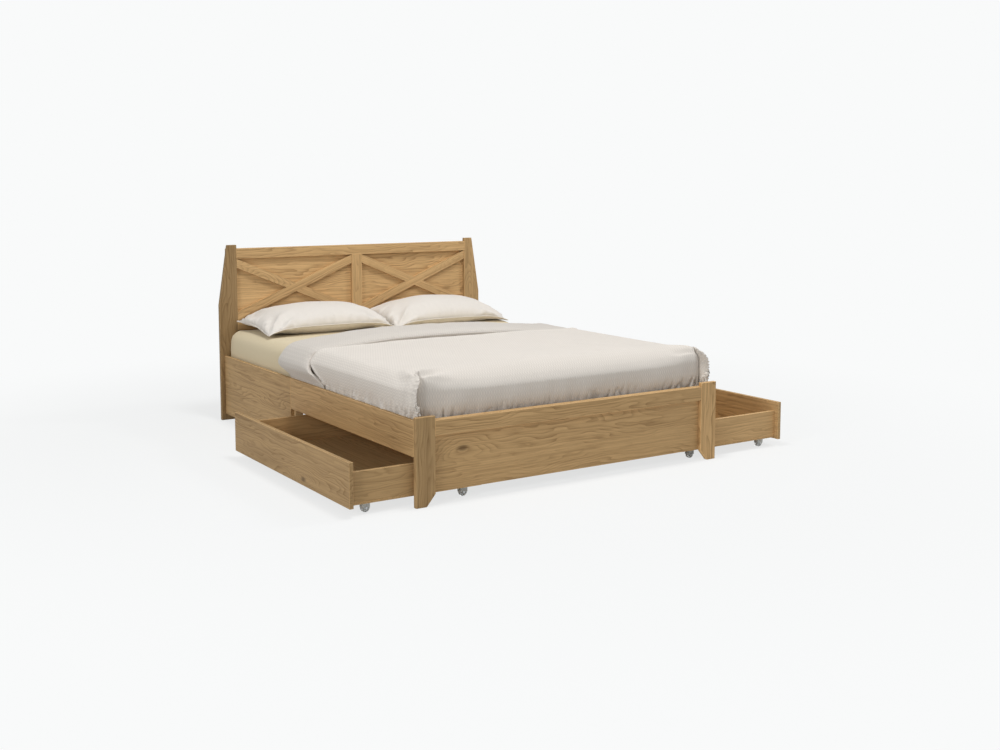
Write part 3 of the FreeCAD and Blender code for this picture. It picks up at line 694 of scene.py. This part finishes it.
class BED_OT_pillows(bpy.types.Operator):
    """Add the two filled pillows with their piped seams"""
    bl_idname = "bed.pillows"
    bl_label = "Pillows"

    columns = 104
    rows = 66
    moments = 14  # steps of the filling's cloth simulation
    furthest = 0.006  # the most that the filling moves a point

    def execute(self, context):
        material = cloth_material("pillow cotton", context.scene.bed_colours.pillow, 0.0016,
                                  0.0001, 0.96, 0.2, weave="rib")
        for node, seed, seam_rise in (("pillow_left", 1.0, 0.047), ("pillow_right", 2.0, 0.036)):
            pillow, seam = self.sewn(node, seed, seam_rise)
            self.fill(pillow)
            trim = self.piping(context, pillow, seam, node)
            pillow.name = node + "_cased"
            dress(pillow, material, node)
            dress(trim, material)
        return {"FINISHED"}

    def sewn(self, node, seed, seam_rise):
        """Two panels that share their seam, shaped round the filling and flat underneath."""
        low, high = node_box(node)
        middle, half = (low + high) / 2, (high - low) / 2
        ground = low.z
        loft = high.z - ground - seam_rise + 0.003

        def body(u, v):
            """Share of the full thickness at a point of the case."""
            return max(0.0, (1 - abs(u) ** 2.5) * (1 - abs(v) ** 2.1)) ** 0.66

        def seam_height(u, v):
            front = smooth(0.4, -1.0, v)
            return ground + seam_rise - front * 0.032 * abs(u) ** 5 - 0.005 * abs(u) ** 3

        def outline(u, v):
            x = middle.x + half.x * u * (1 - 0.040 * (1 - v * v) * abs(u) ** 3)
            y = middle.y + half.y * v * (1 - 0.055 * (1 - u * u) * abs(v) ** 3)
            return x, y

        def upper(u, v):
            x, y = outline(u, v)
            fold = self.wrinkle(x, y, u, v, half, seed)
            z = seam_height(u, v) + loft * body(u, v) + fold
            out = 0.9 * fold * (1 - body(u, v))
            side = x + math.copysign(out * abs(u) ** 3, u)
            end = y + math.copysign(out * abs(v) ** 3, v)
            return Vector((side, end, z)), (x, y)

        def lower(u, v):
            x, y = outline(u, v)
            deep = 0.092 * body(u, v) ** 2.3 - 0.4 * self.wrinkle(x, y, u, v, half, seed + 5)
            room = seam_height(u, v) - ground - 0.001
            drop = deep / (1 + abs(deep / room) ** 5) ** 0.2
            return Vector((x, y, seam_height(u, v) - drop)), (x, -y)

        case = grid(node + "_case", self.columns, self.rows)
        shape_grid(case, upper)
        under = grid(node + "_under", self.columns, self.rows)
        shape_grid(under, lower)
        only(case)
        under.select_set(True)
        bpy.ops.object.join()
        outward(case)
        tree = kdtree.KDTree(len(case.data.vertices))
        for point in case.data.vertices:
            tree.insert(point.co, point.index)
        tree.balance()
        return case, [tree.find(upper(*spot)[0])[1] for spot in self.rim()]

    def rim(self):
        """Points of the case's edge in order, as shares from -1 to 1 of its two sides."""
        wide, deep = self.columns, self.rows
        steps = [(c, 0) for c in range(wide)] + [(wide, r) for r in range(deep)]
        steps += [(wide - c, deep) for c in range(wide)] + [(0, deep - r) for r in range(deep)]
        return [(2 * c / wide - 1, 2 * r / deep - 1) for c, r in steps]

    def wrinkle(self, x, y, u, v, half, seed):
        """Short gathers at the seam, slanting pulls by the corners and soft dents between."""
        side_gap, end_gap = (1 - abs(u)) * half.x, (1 - abs(v)) * half.y
        seam_gap = min(side_gap, end_gap)
        along = y if side_gap < end_gap else x
        gather = wobble(along, seam_gap * 0.25, 0, 0.024, seed) + 0.6 * wobble(along, 0, 0, 0.055, seed + 1)
        depth = 0.0115 * gather * smooth(0.0, 0.015, seam_gap) * math.exp(-seam_gap / 0.050)
        corner = math.hypot(side_gap, end_gap)
        angle = math.atan2(end_gap, side_gap + 1e-6)
        pull = math.sin(9 * angle + 2.5 * wobble(x, y, 0, 0.1, seed + 2) + seed)
        depth += 0.0095 * pull * smooth(0.02, 0.07, corner) * smooth(0.27, 0.10, corner)
        depth += 0.0060 * wobble(x, y * 0.6, 0, 0.16, seed + 3) * smooth(0.0, 0.1, seam_gap)
        return depth * smooth(0.0, 0.010, seam_gap)

    def fill(self, obj):
        """Let the filling press the case out a little, so that its wrinkles round over."""
        scene = bpy.context.scene
        start = [v.co.copy() for v in obj.data.vertices]
        only(obj)
        cloth = obj.modifiers.new("fill", "CLOTH")
        cloth.settings.quality = 4
        cloth.settings.mass = 0.2
        cloth.settings.tension_stiffness = 40
        cloth.settings.compression_stiffness = 40
        cloth.settings.bending_stiffness = 0.8
        cloth.settings.shrink_min = -0.015
        cloth.settings.use_pressure = True
        cloth.settings.uniform_pressure_force = 2.0
        cloth.settings.effector_weights.gravity = 0
        cloth.settings.air_damping = 5
        cloth.point_cache.frame_start = 1
        cloth.point_cache.frame_end = self.moments
        for moment in range(1, self.moments + 1):
            scene.frame_set(moment)
        apply_modifiers(obj)
        scene.frame_set(1)
        ground = min(p.z for p in start)
        for vertex, origin in zip(obj.data.vertices, start):
            move = vertex.co - origin
            if move.length > self.furthest:
                move.length = self.furthest
            vertex.co = origin + move
            vertex.co.z = max(vertex.co.z, ground)

    def piping(self, context, pillow, rim, node):
        """A thin round edge that follows the pillow's seam."""
        low, high = node_box(node)
        middle = (low + high) / 2
        data = bpy.data.curves.new(node + "_piping", "CURVE")
        data.dimensions = "3D"
        data.bevel_depth = context.scene.bed_bedding.piping
        data.bevel_resolution = 2
        spline = data.splines.new("NURBS")
        spline.points.add(len(rim) - 1)
        for target, index in zip(spline.points, rim):
            point = pillow.data.vertices[index].co
            outwards = Vector((point.x - middle.x, point.y - middle.y, 0)).normalized() * 0.0015
            target.co = (*(point + outwards), 1)
        spline.use_cyclic_u = True
        spline.order_u = 3
        trim = bpy.data.objects.new(node + "_piping", data)
        context.collection.objects.link(trim)
        only(trim)
        bpy.ops.object.convert(target="MESH")
        trim = context.object
        if not trim.data.uv_layers:
            trim.data.uv_layers.new(name="UVMap")
        return trim


# ---------------------------------------------------------------- duvet

class Bolster:
    """The outside of the mattress and its duvet as one surface that can be walked over."""

    def __init__(self, context):
        sizes = context.scene.bed_bedding
        low, high = node_box("duvet")
        bed_high = node_box("mattress")[1]
        rail_high = node_box("side_rail_left")[1]
        self.half = high.x
        self.foot = low.y + 0.010
        self.fold = high.y
        self.top = bed_high.z + sizes.duvet_loft
        self.radius = sizes.edge_radius
        self.hem = low.z
        self.rail = rail_high.z
        self.drop = self.top - self.hem
        self.turn = self.radius * math.pi / 2
        self.edge = self.half - self.radius
        self.foot_edge = self.foot + self.radius
        self.turn_hem = self.fold - sizes.turn_length

    def bend(self, over, slope=0.0, deep=0.0):
        """How far out and down the cover is, and its slant, after running over past the edge.

        With a slope the top starts to fall that far before the edge, and the bend is deeper
        than its radius by deep.
        """
        low = self.radius + deep
        if over <= -slope:
            return over, 0.0, 0.0
        if over < self.turn:
            angle = (over + slope) / (self.turn + slope) * math.pi / 2
            return (self.radius + slope) * math.sin(angle) - slope, low * (1 - math.cos(angle)), angle
        share = (over - self.turn) / (self.drop - self.radius)
        return self.radius, mix(low, self.drop, share), math.pi / 2

    def belly(self, down):
        """How far the sides swell between the top edge and the rails."""
        return 0.012 * math.sin(math.pi * min(1.0, max(0.0, (down - 0.01) / 0.15)))

    def crown(self, s, t):
        """Height of the top of the cover above its usual level."""
        rise = 0.006 * (1 - (s / self.half) ** 2)
        return rise - 0.006 * smooth(0.3, 0.75, s) + 0.010 * smooth(0.40, 0.04, t)

    def hem_line(self, s, depth):
        """Where the hem of the turned-back part lies along the bed."""
        wave = 0.007 * wobble(s, 0, 0, 0.35, 22)
        return self.turn_hem + wave - 0.15 * smooth(0.05, 0.165, depth)


class BED_OT_duvet(bpy.types.Operator):
    """Add the duvet that lies over the foot of the mattress, tucked in behind the rails"""
    bl_idname = "bed.duvet"
    bl_label = "Duvet"

    ridge = 0.026  # how far the corner seams stand out past the foot face
    lip = 0.005  # width of a seam's turned-back edge
    wadding = 0.007  # thickness of the cover
    lead = 0.02  # stretch inside an edge that is meshed as finely as the edge
    hidden = 0.03  # how far the cover stops short of the fold
    # each fold's place along the bed, height over the rail and depth
    folds = ((-0.91, 0.075, 0.015), (-0.75, 0.036, 0.011), (-0.60, 0.034, 0.010),
             (-0.50, 0.040, 0.011), (-0.27, 0.036, 0.009))

    def execute(self, context):
        shell = Bolster(context)
        step = context.scene.bed_bedding.cover_step
        fine = 0.45 * step
        reach = shell.turn + shell.drop - shell.radius + self.lead
        middle = shell.edge - self.lead
        length = shell.fold - self.hidden - shell.foot_edge - self.lead
        side_cells, middle_cells = round(reach / fine), round(2 * middle / (0.75 * step))
        foot_cells, long_cells = round(reach / fine), round(length / (0.6 * step))
        columns, rows = 2 * side_cells + middle_cells, foot_cells + long_cells
        obj = grid("duvet_cover", columns, rows)

        def place(u, v):
            column = abs(u) * columns / 2
            over = column - middle_cells / 2
            if over > 0:
                s = middle + over / side_cells * reach
            else:
                s = middle * column / (middle_cells / 2)
            row = (v + 1) / 2 * rows
            if row < foot_cells:
                t = self.lead - reach + row / foot_cells * reach
            else:
                t = self.lead + (row - foot_cells) / long_cells * length
            s = math.copysign(s, u)
            return self.spot(shell, s, t), (s, t)

        shape_grid(obj, place)
        thick = obj.modifiers.new("wadding", "SOLIDIFY")
        thick.thickness = self.wadding
        thick.offset = -1
        apply_modifiers(obj)
        outward(obj)
        material = cloth_material("dobby cotton", context.scene.bed_colours.duvet, 0.0125,
                                  0.0008, 0.80, 0.15)
        dress(obj, material, "duvet")
        return {"FINISHED"}

    def spot(self, shell, s, t):
        """Where the flat cloth's point (s, t) comes to lie; t is 0 where the foot edge starts."""
        sign = -1 if s < 0 else 1
        a, b = abs(s) - shell.edge, -t
        inwards = smooth(0.02, 0.30, shell.edge - abs(s))
        slope = 0.035 * inwards
        side_out, side_down = shell.bend(a)[:2]
        foot_out, foot_down = shell.bend(b, slope, 0.008 * inwards)[:2]
        down = max(side_down, foot_down)
        x = shell.edge + side_out if a > 0 else abs(s)
        y = shell.foot_edge - foot_out if b > -slope else shell.foot_edge + t
        if a > 0 and b > 0:
            x, y = self.corner(shell, a, b, side_out, foot_out, down, sign)
        swell = shell.belly(down)
        x += swell * smooth(shell.turn / 2, shell.turn, a) * smooth(0.0, 0.05, a - b + 0.05)
        y -= 0.4 * swell * smooth(shell.turn / 2, shell.turn, b) * smooth(0.02, 0.12, shell.edge - abs(s))
        point = Vector((sign * x, y, shell.top - down))
        self.relief(shell, point, s, t, a, b, down, sign)
        return point

    def corner(self, shell, a, b, side_out, foot_out, down, sign):
        """The seam at a foot corner: the side runs past the foot face and turns back in a lip."""
        path = 0.5 * b / a if a >= b else 1 - 0.5 * a / b
        grown = smooth(0.0, 0.028, down) * smooth(0.215, 0.150, down)
        out = shell.edge + min(side_out if a >= b else shell.bend(b)[0], shell.radius)
        end = shell.foot_edge - min(foot_out if b >= a else shell.bend(a)[0], shell.radius)
        tip = end - self.ridge * grown
        lip = self.lip * grown
        if path < 0.42:
            share = path / 0.42
            groove = bell(share - 0.66, 0.07)
            round_over = 0.005 * math.sin(math.pi * share ** 0.7)
            x = out + grown * (round_over - 0.006 * share ** 6 - 0.006 * groove)
            y = mix(shell.foot_edge, tip, share ** 0.9)
        elif path < 0.50:
            turn = (path - 0.42) / 0.08
            x = out - 0.006 * grown - lip * turn
            y = tip - 0.002 * grown * math.sin(math.pi * turn)
        elif path < 0.72:
            share = (path - 0.50) / 0.22
            x = out - 0.006 * grown - lip - 0.004 * grown * share
            y = mix(tip, end + 0.026 * grown, share)
        else:
            share = (path - 0.72) / 0.28
            x = mix(out - 0.010 * grown - lip, shell.edge, share)
            y = end + 0.026 * grown * (1 - share) ** 2
        level = shell.top - down
        pucker = math.sin(2 * math.pi * level / 0.0125 + 1.5 * wobble(0, 0, level, 0.04, 3 + sign))
        near_lip = grown * smooth(0.27, 0.36, path) * smooth(0.62, 0.50, path)
        return x + 0.0026 * pucker * near_lip, y - 0.0022 * pucker * near_lip

    def relief(self, shell, point, s, t, a, b, down, sign):
        """Soft hollows on top, creases along the rails and the peaked corners."""
        on_top = smooth(0.03, -0.05, max(a, b))
        hollow = 0.0040 * wobble(s, t * 0.7, 0, 0.42, 1)
        point.z += on_top * (hollow + 0.0014 * wobble(s * 1.5, t, 0, 0.14, 4))
        point.z += smooth(0.04, -0.08, max(a, b)) * shell.crown(s, t)
        reach = math.hypot(max(0.0, shell.half - 0.03 - abs(s)), max(0.0, t + 0.035))
        peak = (0.021 if sign < 0 else 0.010) * bell(reach, 0.075)
        point.z += peak * smooth(0.09, 0.0, down)
        if a > -0.20 and b > -0.20 and reach < 0.24:
            angle = math.atan2(max(0.0, shell.half - abs(s)), max(0.0, t + 0.06) + 0.001)
            fold = math.sin(11 * angle + 2 * sign + 2 * wobble(s, t, 0, 0.1, 14))
            fold *= 0.0085 if sign < 0 else 0.006
            fold *= smooth(0.24, 0.08, reach)
            fold *= smooth(0.0, 0.05, reach)
            point.z += fold * smooth(0.08, 0.01, down)
        low = smooth(shell.rail + 0.066, shell.rail + 0.012, point.z)
        tall = smooth(shell.rail + 0.12, shell.rail + 0.01, point.z)
        if a > shell.turn / 2 and a >= b:
            line = wobble(t + 0.4 * (point.z - shell.rail), point.z * 0.25, 0, 0.040, 6)
            deep = 0.35 + smooth(0.0, 0.45, wobble(t, 0, 0, 0.17, 31))
            deep += 0.6 * smooth(-0.70, -0.95, point.y)
            point.x -= sign * 0.0190 * deep * low * bell(line, 0.10)
            gather = math.sin(2 * math.pi * t / 0.024 + 4 * wobble(t, 0, 0, 0.07, 8))
            point.x += sign * 0.0030 * low * gather
            point.x += sign * tall * 0.0060 * wobble(0, t * 1.6, point.z * 0.6, 0.1, 11)
            if a > shell.turn:
                point.x -= sign * self.rail_folds(shell, point, sign)
                point.x = sign * max(abs(point.x), shell.half - 0.010)
        elif b > shell.turn / 2 and b > a:
            line = wobble(s, point.z * 0.35, 0, 0.040, 7)
            deep = 0.3 + smooth(0.0, 0.45, wobble(s, 0, 0, 0.21, 32))
            deep += 0.7 * smooth(0.60, 0.76, abs(s))
            by_rail = smooth(shell.rail + 0.045, shell.rail + 0.010, point.z)
            point.y += 0.0100 * deep * by_rail * bell(line, 0.09)
            point.y -= tall * 0.0055 * wobble(s * 1.5, 0, point.z * 0.7, 0.1, 12)
        self.pinch(shell, point, s, a, down, sign)

    def rail_folds(self, shell, point, sign):
        """Depth of the few sharp folds that lean over the side rails; their rims stand out."""
        depth = 0.0
        over = point.z - shell.rail
        for place, tall, deep in self.folds:
            away = point.y - (place if sign < 0 else place + 0.06) - 0.7 * over
            reach = smooth(tall, 0.2 * tall, over)
            depth += deep * reach * (bell(away, 0.008) - bell(away + 0.017, 0.009))
        return depth

    def pinch(self, shell, point, s, a, down, sign):
        """Press the cover down where the hem of the turned-back part lies on it."""
        gap = point.y - shell.hem_line(s, down)
        press = 0.013 * bell(gap, 0.020) if gap < 0 else 0.013
        press -= 0.006 * bell(gap + 0.034, 0.018)
        if a < shell.turn * 0.7:
            point.z -= press
        if a > 0:
            point.x -= sign * press * smooth(0.0, shell.turn, a)
            ruffle = math.sin(2 * math.pi * point.z / 0.021 + 3 * wobble(0, 0, point.z, 0.03, 17))
            point.x -= sign * 0.003 * ruffle * bell(gap + 0.012, 0.014)
            point.y += 0.0025 * ruffle * bell(gap + 0.010, 0.018)


class BED_OT_turned_part(bpy.types.Operator):
    """Add the part of the duvet that is folded back over itself"""
    bl_idname = "bed.turned_part"
    bl_label = "Turned-back Part"

    rows = 84

    def execute(self, context):
        shell = Bolster(context)
        sizes = context.scene.bed_bedding
        flat_half = shell.edge + shell.turn + (shell.drop - shell.radius) * 0.72
        obj = grid("duvet_turned_back", round(2 * flat_half / (0.6 * sizes.cover_step)), self.rows)

        def place(u, v):
            s = u * flat_half
            return self.spot(shell, sizes.turn_loft, s, v)

        shape_grid(obj, place)
        outward(obj)
        self.close_ends(obj)
        # The turned-back part is the duvet's own cotton, its colour darkened to 0.85 as painted shade.
        colour = context.scene.bed_colours.duvet
        material = cloth_material("dobby cotton, turned back, painted shade", [c * 0.85 for c in colour], 0.0125,
                                  0.0006, 0.86, 0.15)
        dress(obj, material)
        return {"FINISHED"}

    def close_ends(self, obj):
        """Fill the open ends of the folded part, where it hangs down at the sides."""
        only(obj)
        bpy.ops.object.mode_set(mode="EDIT")
        bpy.ops.mesh.select_all(action="DESELECT")
        bpy.ops.mesh.select_non_manifold()
        bpy.ops.mesh.fill_holes(sides=0)
        bpy.ops.mesh.select_all(action="SELECT")
        bpy.ops.mesh.normals_make_consistent(inside=False)
        bpy.ops.object.mode_set(mode="OBJECT")

    def spot(self, shell, loft, s, v):
        """v runs once round the folded part: hem, upper side, fold and underside."""
        sign = -1 if s < 0 else 1
        over = abs(s) - shell.edge
        out, down, angle = shell.bend(over)
        reach = min(abs(s), shell.half) * sign + 0.2
        sag = (0.125 if reach < 0 else 0.034) * reach * reach
        depth = down + sag
        head = shell.fold + 0.005 * wobble(s, 0, 0, 0.3, 21)
        head += 0.018 * smooth(0.03, 0.09, depth) - 0.085 * smooth(0.100, 0.165, depth)
        hem = shell.hem_line(s, depth)
        turn = math.pi * (v + 1)
        along = 0.5 - 0.5 * math.copysign(abs(math.cos(turn)) ** 0.30, math.cos(turn))
        side = math.copysign(abs(math.sin(turn)) ** 0.38, math.sin(turn))
        y = mix(hem, head, along)
        full = loft * mix(1.0, 0.60, smooth(0.04, 0.13, depth)) * mix(1.0, 0.75, smooth(0.15, 0.60, s))
        puff = 1.0 + 0.16 * wobble(s, y * 1.2, 0, 0.15, 23) + 0.10 * wobble(s * 1.4, y * 3, 0, 0.07, 24)
        swell = 0.5 * full * (puff if side > 0 else 1.0) + (0.0 if side > 0 else 0.003)
        roll = min(1.0, max(0.0, (y - hem) / 0.085))
        face = mix(0.42, 0.90, smooth(0.010, 0.055, depth))
        rise = mix(face, 1.0, math.sqrt(1 - (1 - roll) ** 2))
        raised = (0.5 * full + side * swell) * (rise if side > 0 else 1.0)
        if side < 0:
            raised -= 0.016 * smooth(shell.fold - 0.06, shell.fold, y)
        run = 2 * math.pi * (s if over < 0 else depth + s) / 0.019
        pleat = math.sin(run + 4 * wobble(s, down, 0, 0.05, 25))
        raised += 0.0045 * bell(y - hem, 0.022) * pleat * smooth(-0.03, 0.05, over)
        normal_x, normal_z = (math.sin(angle), math.cos(angle)) if over > 0 else (0.0, 1.0)
        x = (shell.edge + out if over > 0 else abs(s)) + normal_x * raised
        z = shell.top - depth + normal_z * raised
        z += shell.crown(s, 1.0) * smooth(0.06, -0.05, over)
        if over > 0:
            x += shell.belly(depth) * smooth(shell.turn / 2, shell.turn, over)
            tucked = smooth(shell.rail + 0.058, shell.rail - 0.004, z)
            x = mix(x, min(x, shell.half - 0.002 + 0.006 * side), tucked)
        return Vector((sign * x, y, z)), (s, y)


# ---------------------------------------------------------------- stage

class BED_OT_stage(bpy.types.Operator):
    """Set up the floor, the soft lights and the camera"""
    bl_idname = "bed.stage"
    bl_label = "Stage"

    def execute(self, context):
        stage = context.scene.bed_stage
        colour = context.scene.bed_colours.backdrop
        self.floor(context, colour)
        self.world(context, colour, stage.sky)
        self.lamp(context, "ceiling softbox", (-0.3, -1.0, 4.6), (0.0, 0.0, 0.3), 0.9, stage.key)
        self.lamp(context, "left softbox", (-6.0, -2.9, 2.7), (0.0, 0.0, 0.35), 1.6, stage.side)
        self.lamp(context, "right softbox", (3.4, -1.2, 4.0), (0.0, 0.4, 0.5), 0.7, stage.right)
        self.lamp(context, "front softbox", (-1.0, -7.5, 2.8), (0.0, 0.0, 0.5), 3.0, stage.front)
        self.camera(context, stage)
        context.scene.view_settings.view_transform = "Standard"
        return {"FINISHED"}

    def seen(self, shader):
        """1 for what the camera sees, also by reflection and through plastic, otherwise 0."""
        path = shader.add("LightPath")
        bounced = shader.math("MAXIMUM", path.outputs["Is Glossy Ray"],
                              path.outputs["Is Transmission Ray"])
        return shader.math("MAXIMUM", path.outputs["Is Camera Ray"], bounced)

    def floor(self, context, colour):
        """A wide pale floor that glows for the camera and keeps a faint shadow by the bed."""
        deselect()
        bpy.ops.mesh.primitive_plane_add(size=60, location=(0, 0, -0.0005))
        floor = context.object
        floor.name = "studio_floor"
        material = bpy.data.materials.new("studio floor")
        material.use_nodes = True
        material.node_tree.nodes.clear()
        s = Shader(material.node_tree)
        matt = s.add("BsdfDiffuse", {"Color": rgba(tone(222, 223, 223))})
        where = s.add("TexCoord").outputs["Object"]
        away = s.add("VectorMath", {0: where}, operation="LENGTH").outputs["Value"]
        far = s.step(1.4, 3.6, away)
        strength = s.math("MULTIPLY_ADD", far, -0.08, 1.08)
        glow = s.add("Emission", {"Color": rgba(colour), "Strength": strength})
        plain = s.math("MULTIPLY_ADD", far, 0.30, 0.70)
        both = s.add("MixShader", {0: s.math("MULTIPLY", self.seen(s), plain),
                                   1: matt.outputs[0], 2: glow.outputs[0]})
        s.add("OutputMaterial", {"Surface": both.outputs[0]})
        floor.data.materials.append(material)

    def world(self, context, colour, strength):
        """Even light from all round, behind which the camera sees the plain backdrop."""
        world = bpy.data.worlds.new("studio")
        context.scene.world = world
        world.use_nodes = True
        world.node_tree.nodes.clear()
        s = Shader(world.node_tree)
        light = s.add("Background", {"Color": (1, 1, 1, 1), "Strength": strength})
        view = s.add("Background", {"Color": rgba(colour), "Strength": 1.0})
        both = s.add("MixShader", {0: self.seen(s), 1: light.outputs[0], 2: view.outputs[0]})
        s.add("OutputWorld", {"Surface": both.outputs[0]})

    def lamp(self, context, name, place, target, size, power):
        """A square soft light at a place, aimed at its target."""
        data = bpy.data.lights.new(name, "AREA")
        data.size = size
        data.energy = power
        lamp = bpy.data.objects.new(name, data)
        lamp.location = place
        lamp.rotation_euler = (Vector(target) - Vector(place)).to_track_quat("-Z", "Y").to_euler()
        context.collection.objects.link(lamp)

    def camera(self, context, stage):
        """A camera off the foot's left corner, turned towards the bed and a little down."""
        turned, tilted = 33.05, 5.74
        data = bpy.data.cameras.new("camera")
        data.lens = stage.focal
        data.sensor_width = 36
        data.shift_y = -0.075
        camera = bpy.data.objects.new("camera", data)
        foot = CAD_BOX[0][1]
        camera.location = (-3.065, foot - 4.091, stage.camera_rise)
        camera.rotation_euler = (math.radians(90 - tilted), 0, math.radians(-turned))
        context.collection.objects.link(camera)
        context.scene.camera = camera


# ---------------------------------------------------------------- panel and registration

OPERATORS = (BED_OT_oak_boards, BED_OT_hidden_timber, BED_OT_fittings, BED_OT_mattress,
             BED_OT_pillows, BED_OT_duvet, BED_OT_turned_part, BED_OT_stage)


class BED_PT_panel(bpy.types.Panel):
    """Lists the steps that dress the bed, and its settings"""
    bl_idname = "BED_PT_panel"
    bl_label = "Storage Bed"
    bl_space_type = "VIEW_3D"
    bl_region_type = "UI"
    bl_category = "Storage Bed"

    def draw(self, context):
        for operator in OPERATORS:
            self.layout.operator(operator.bl_idname)
        for name, group in SETTINGS:
            box = self.layout.box()
            settings = getattr(context.scene, name)
            for field in group.__annotations__:
                box.prop(settings, field)


def register():
    """Add the settings, the operators and the panel to Blender."""
    for name, group in SETTINGS:
        bpy.utils.register_class(group)
        setattr(bpy.types.Scene, name, PointerProperty(type=group))
    for operator in OPERATORS:
        bpy.utils.register_class(operator)
    bpy.utils.register_class(BED_PT_panel)


def unregister():
    """Take them all out again."""
    bpy.utils.unregister_class(BED_PT_panel)
    for operator in reversed(OPERATORS):
        bpy.utils.unregister_class(operator)
    for name, group in SETTINGS:
        delattr(bpy.types.Scene, name)
        bpy.utils.unregister_class(group)


def main():
    """Dress the bed from its boards to its stage."""
    register()
    bpy.ops.bed.oak_boards()
    bpy.ops.bed.hidden_timber()
    bpy.ops.bed.fittings()
    bpy.ops.bed.mattress()
    bpy.ops.bed.pillows()
    bpy.ops.bed.duvet()
    bpy.ops.bed.turned_part()
    bpy.ops.bed.stage()


if __name__ == "__main__":
    main()
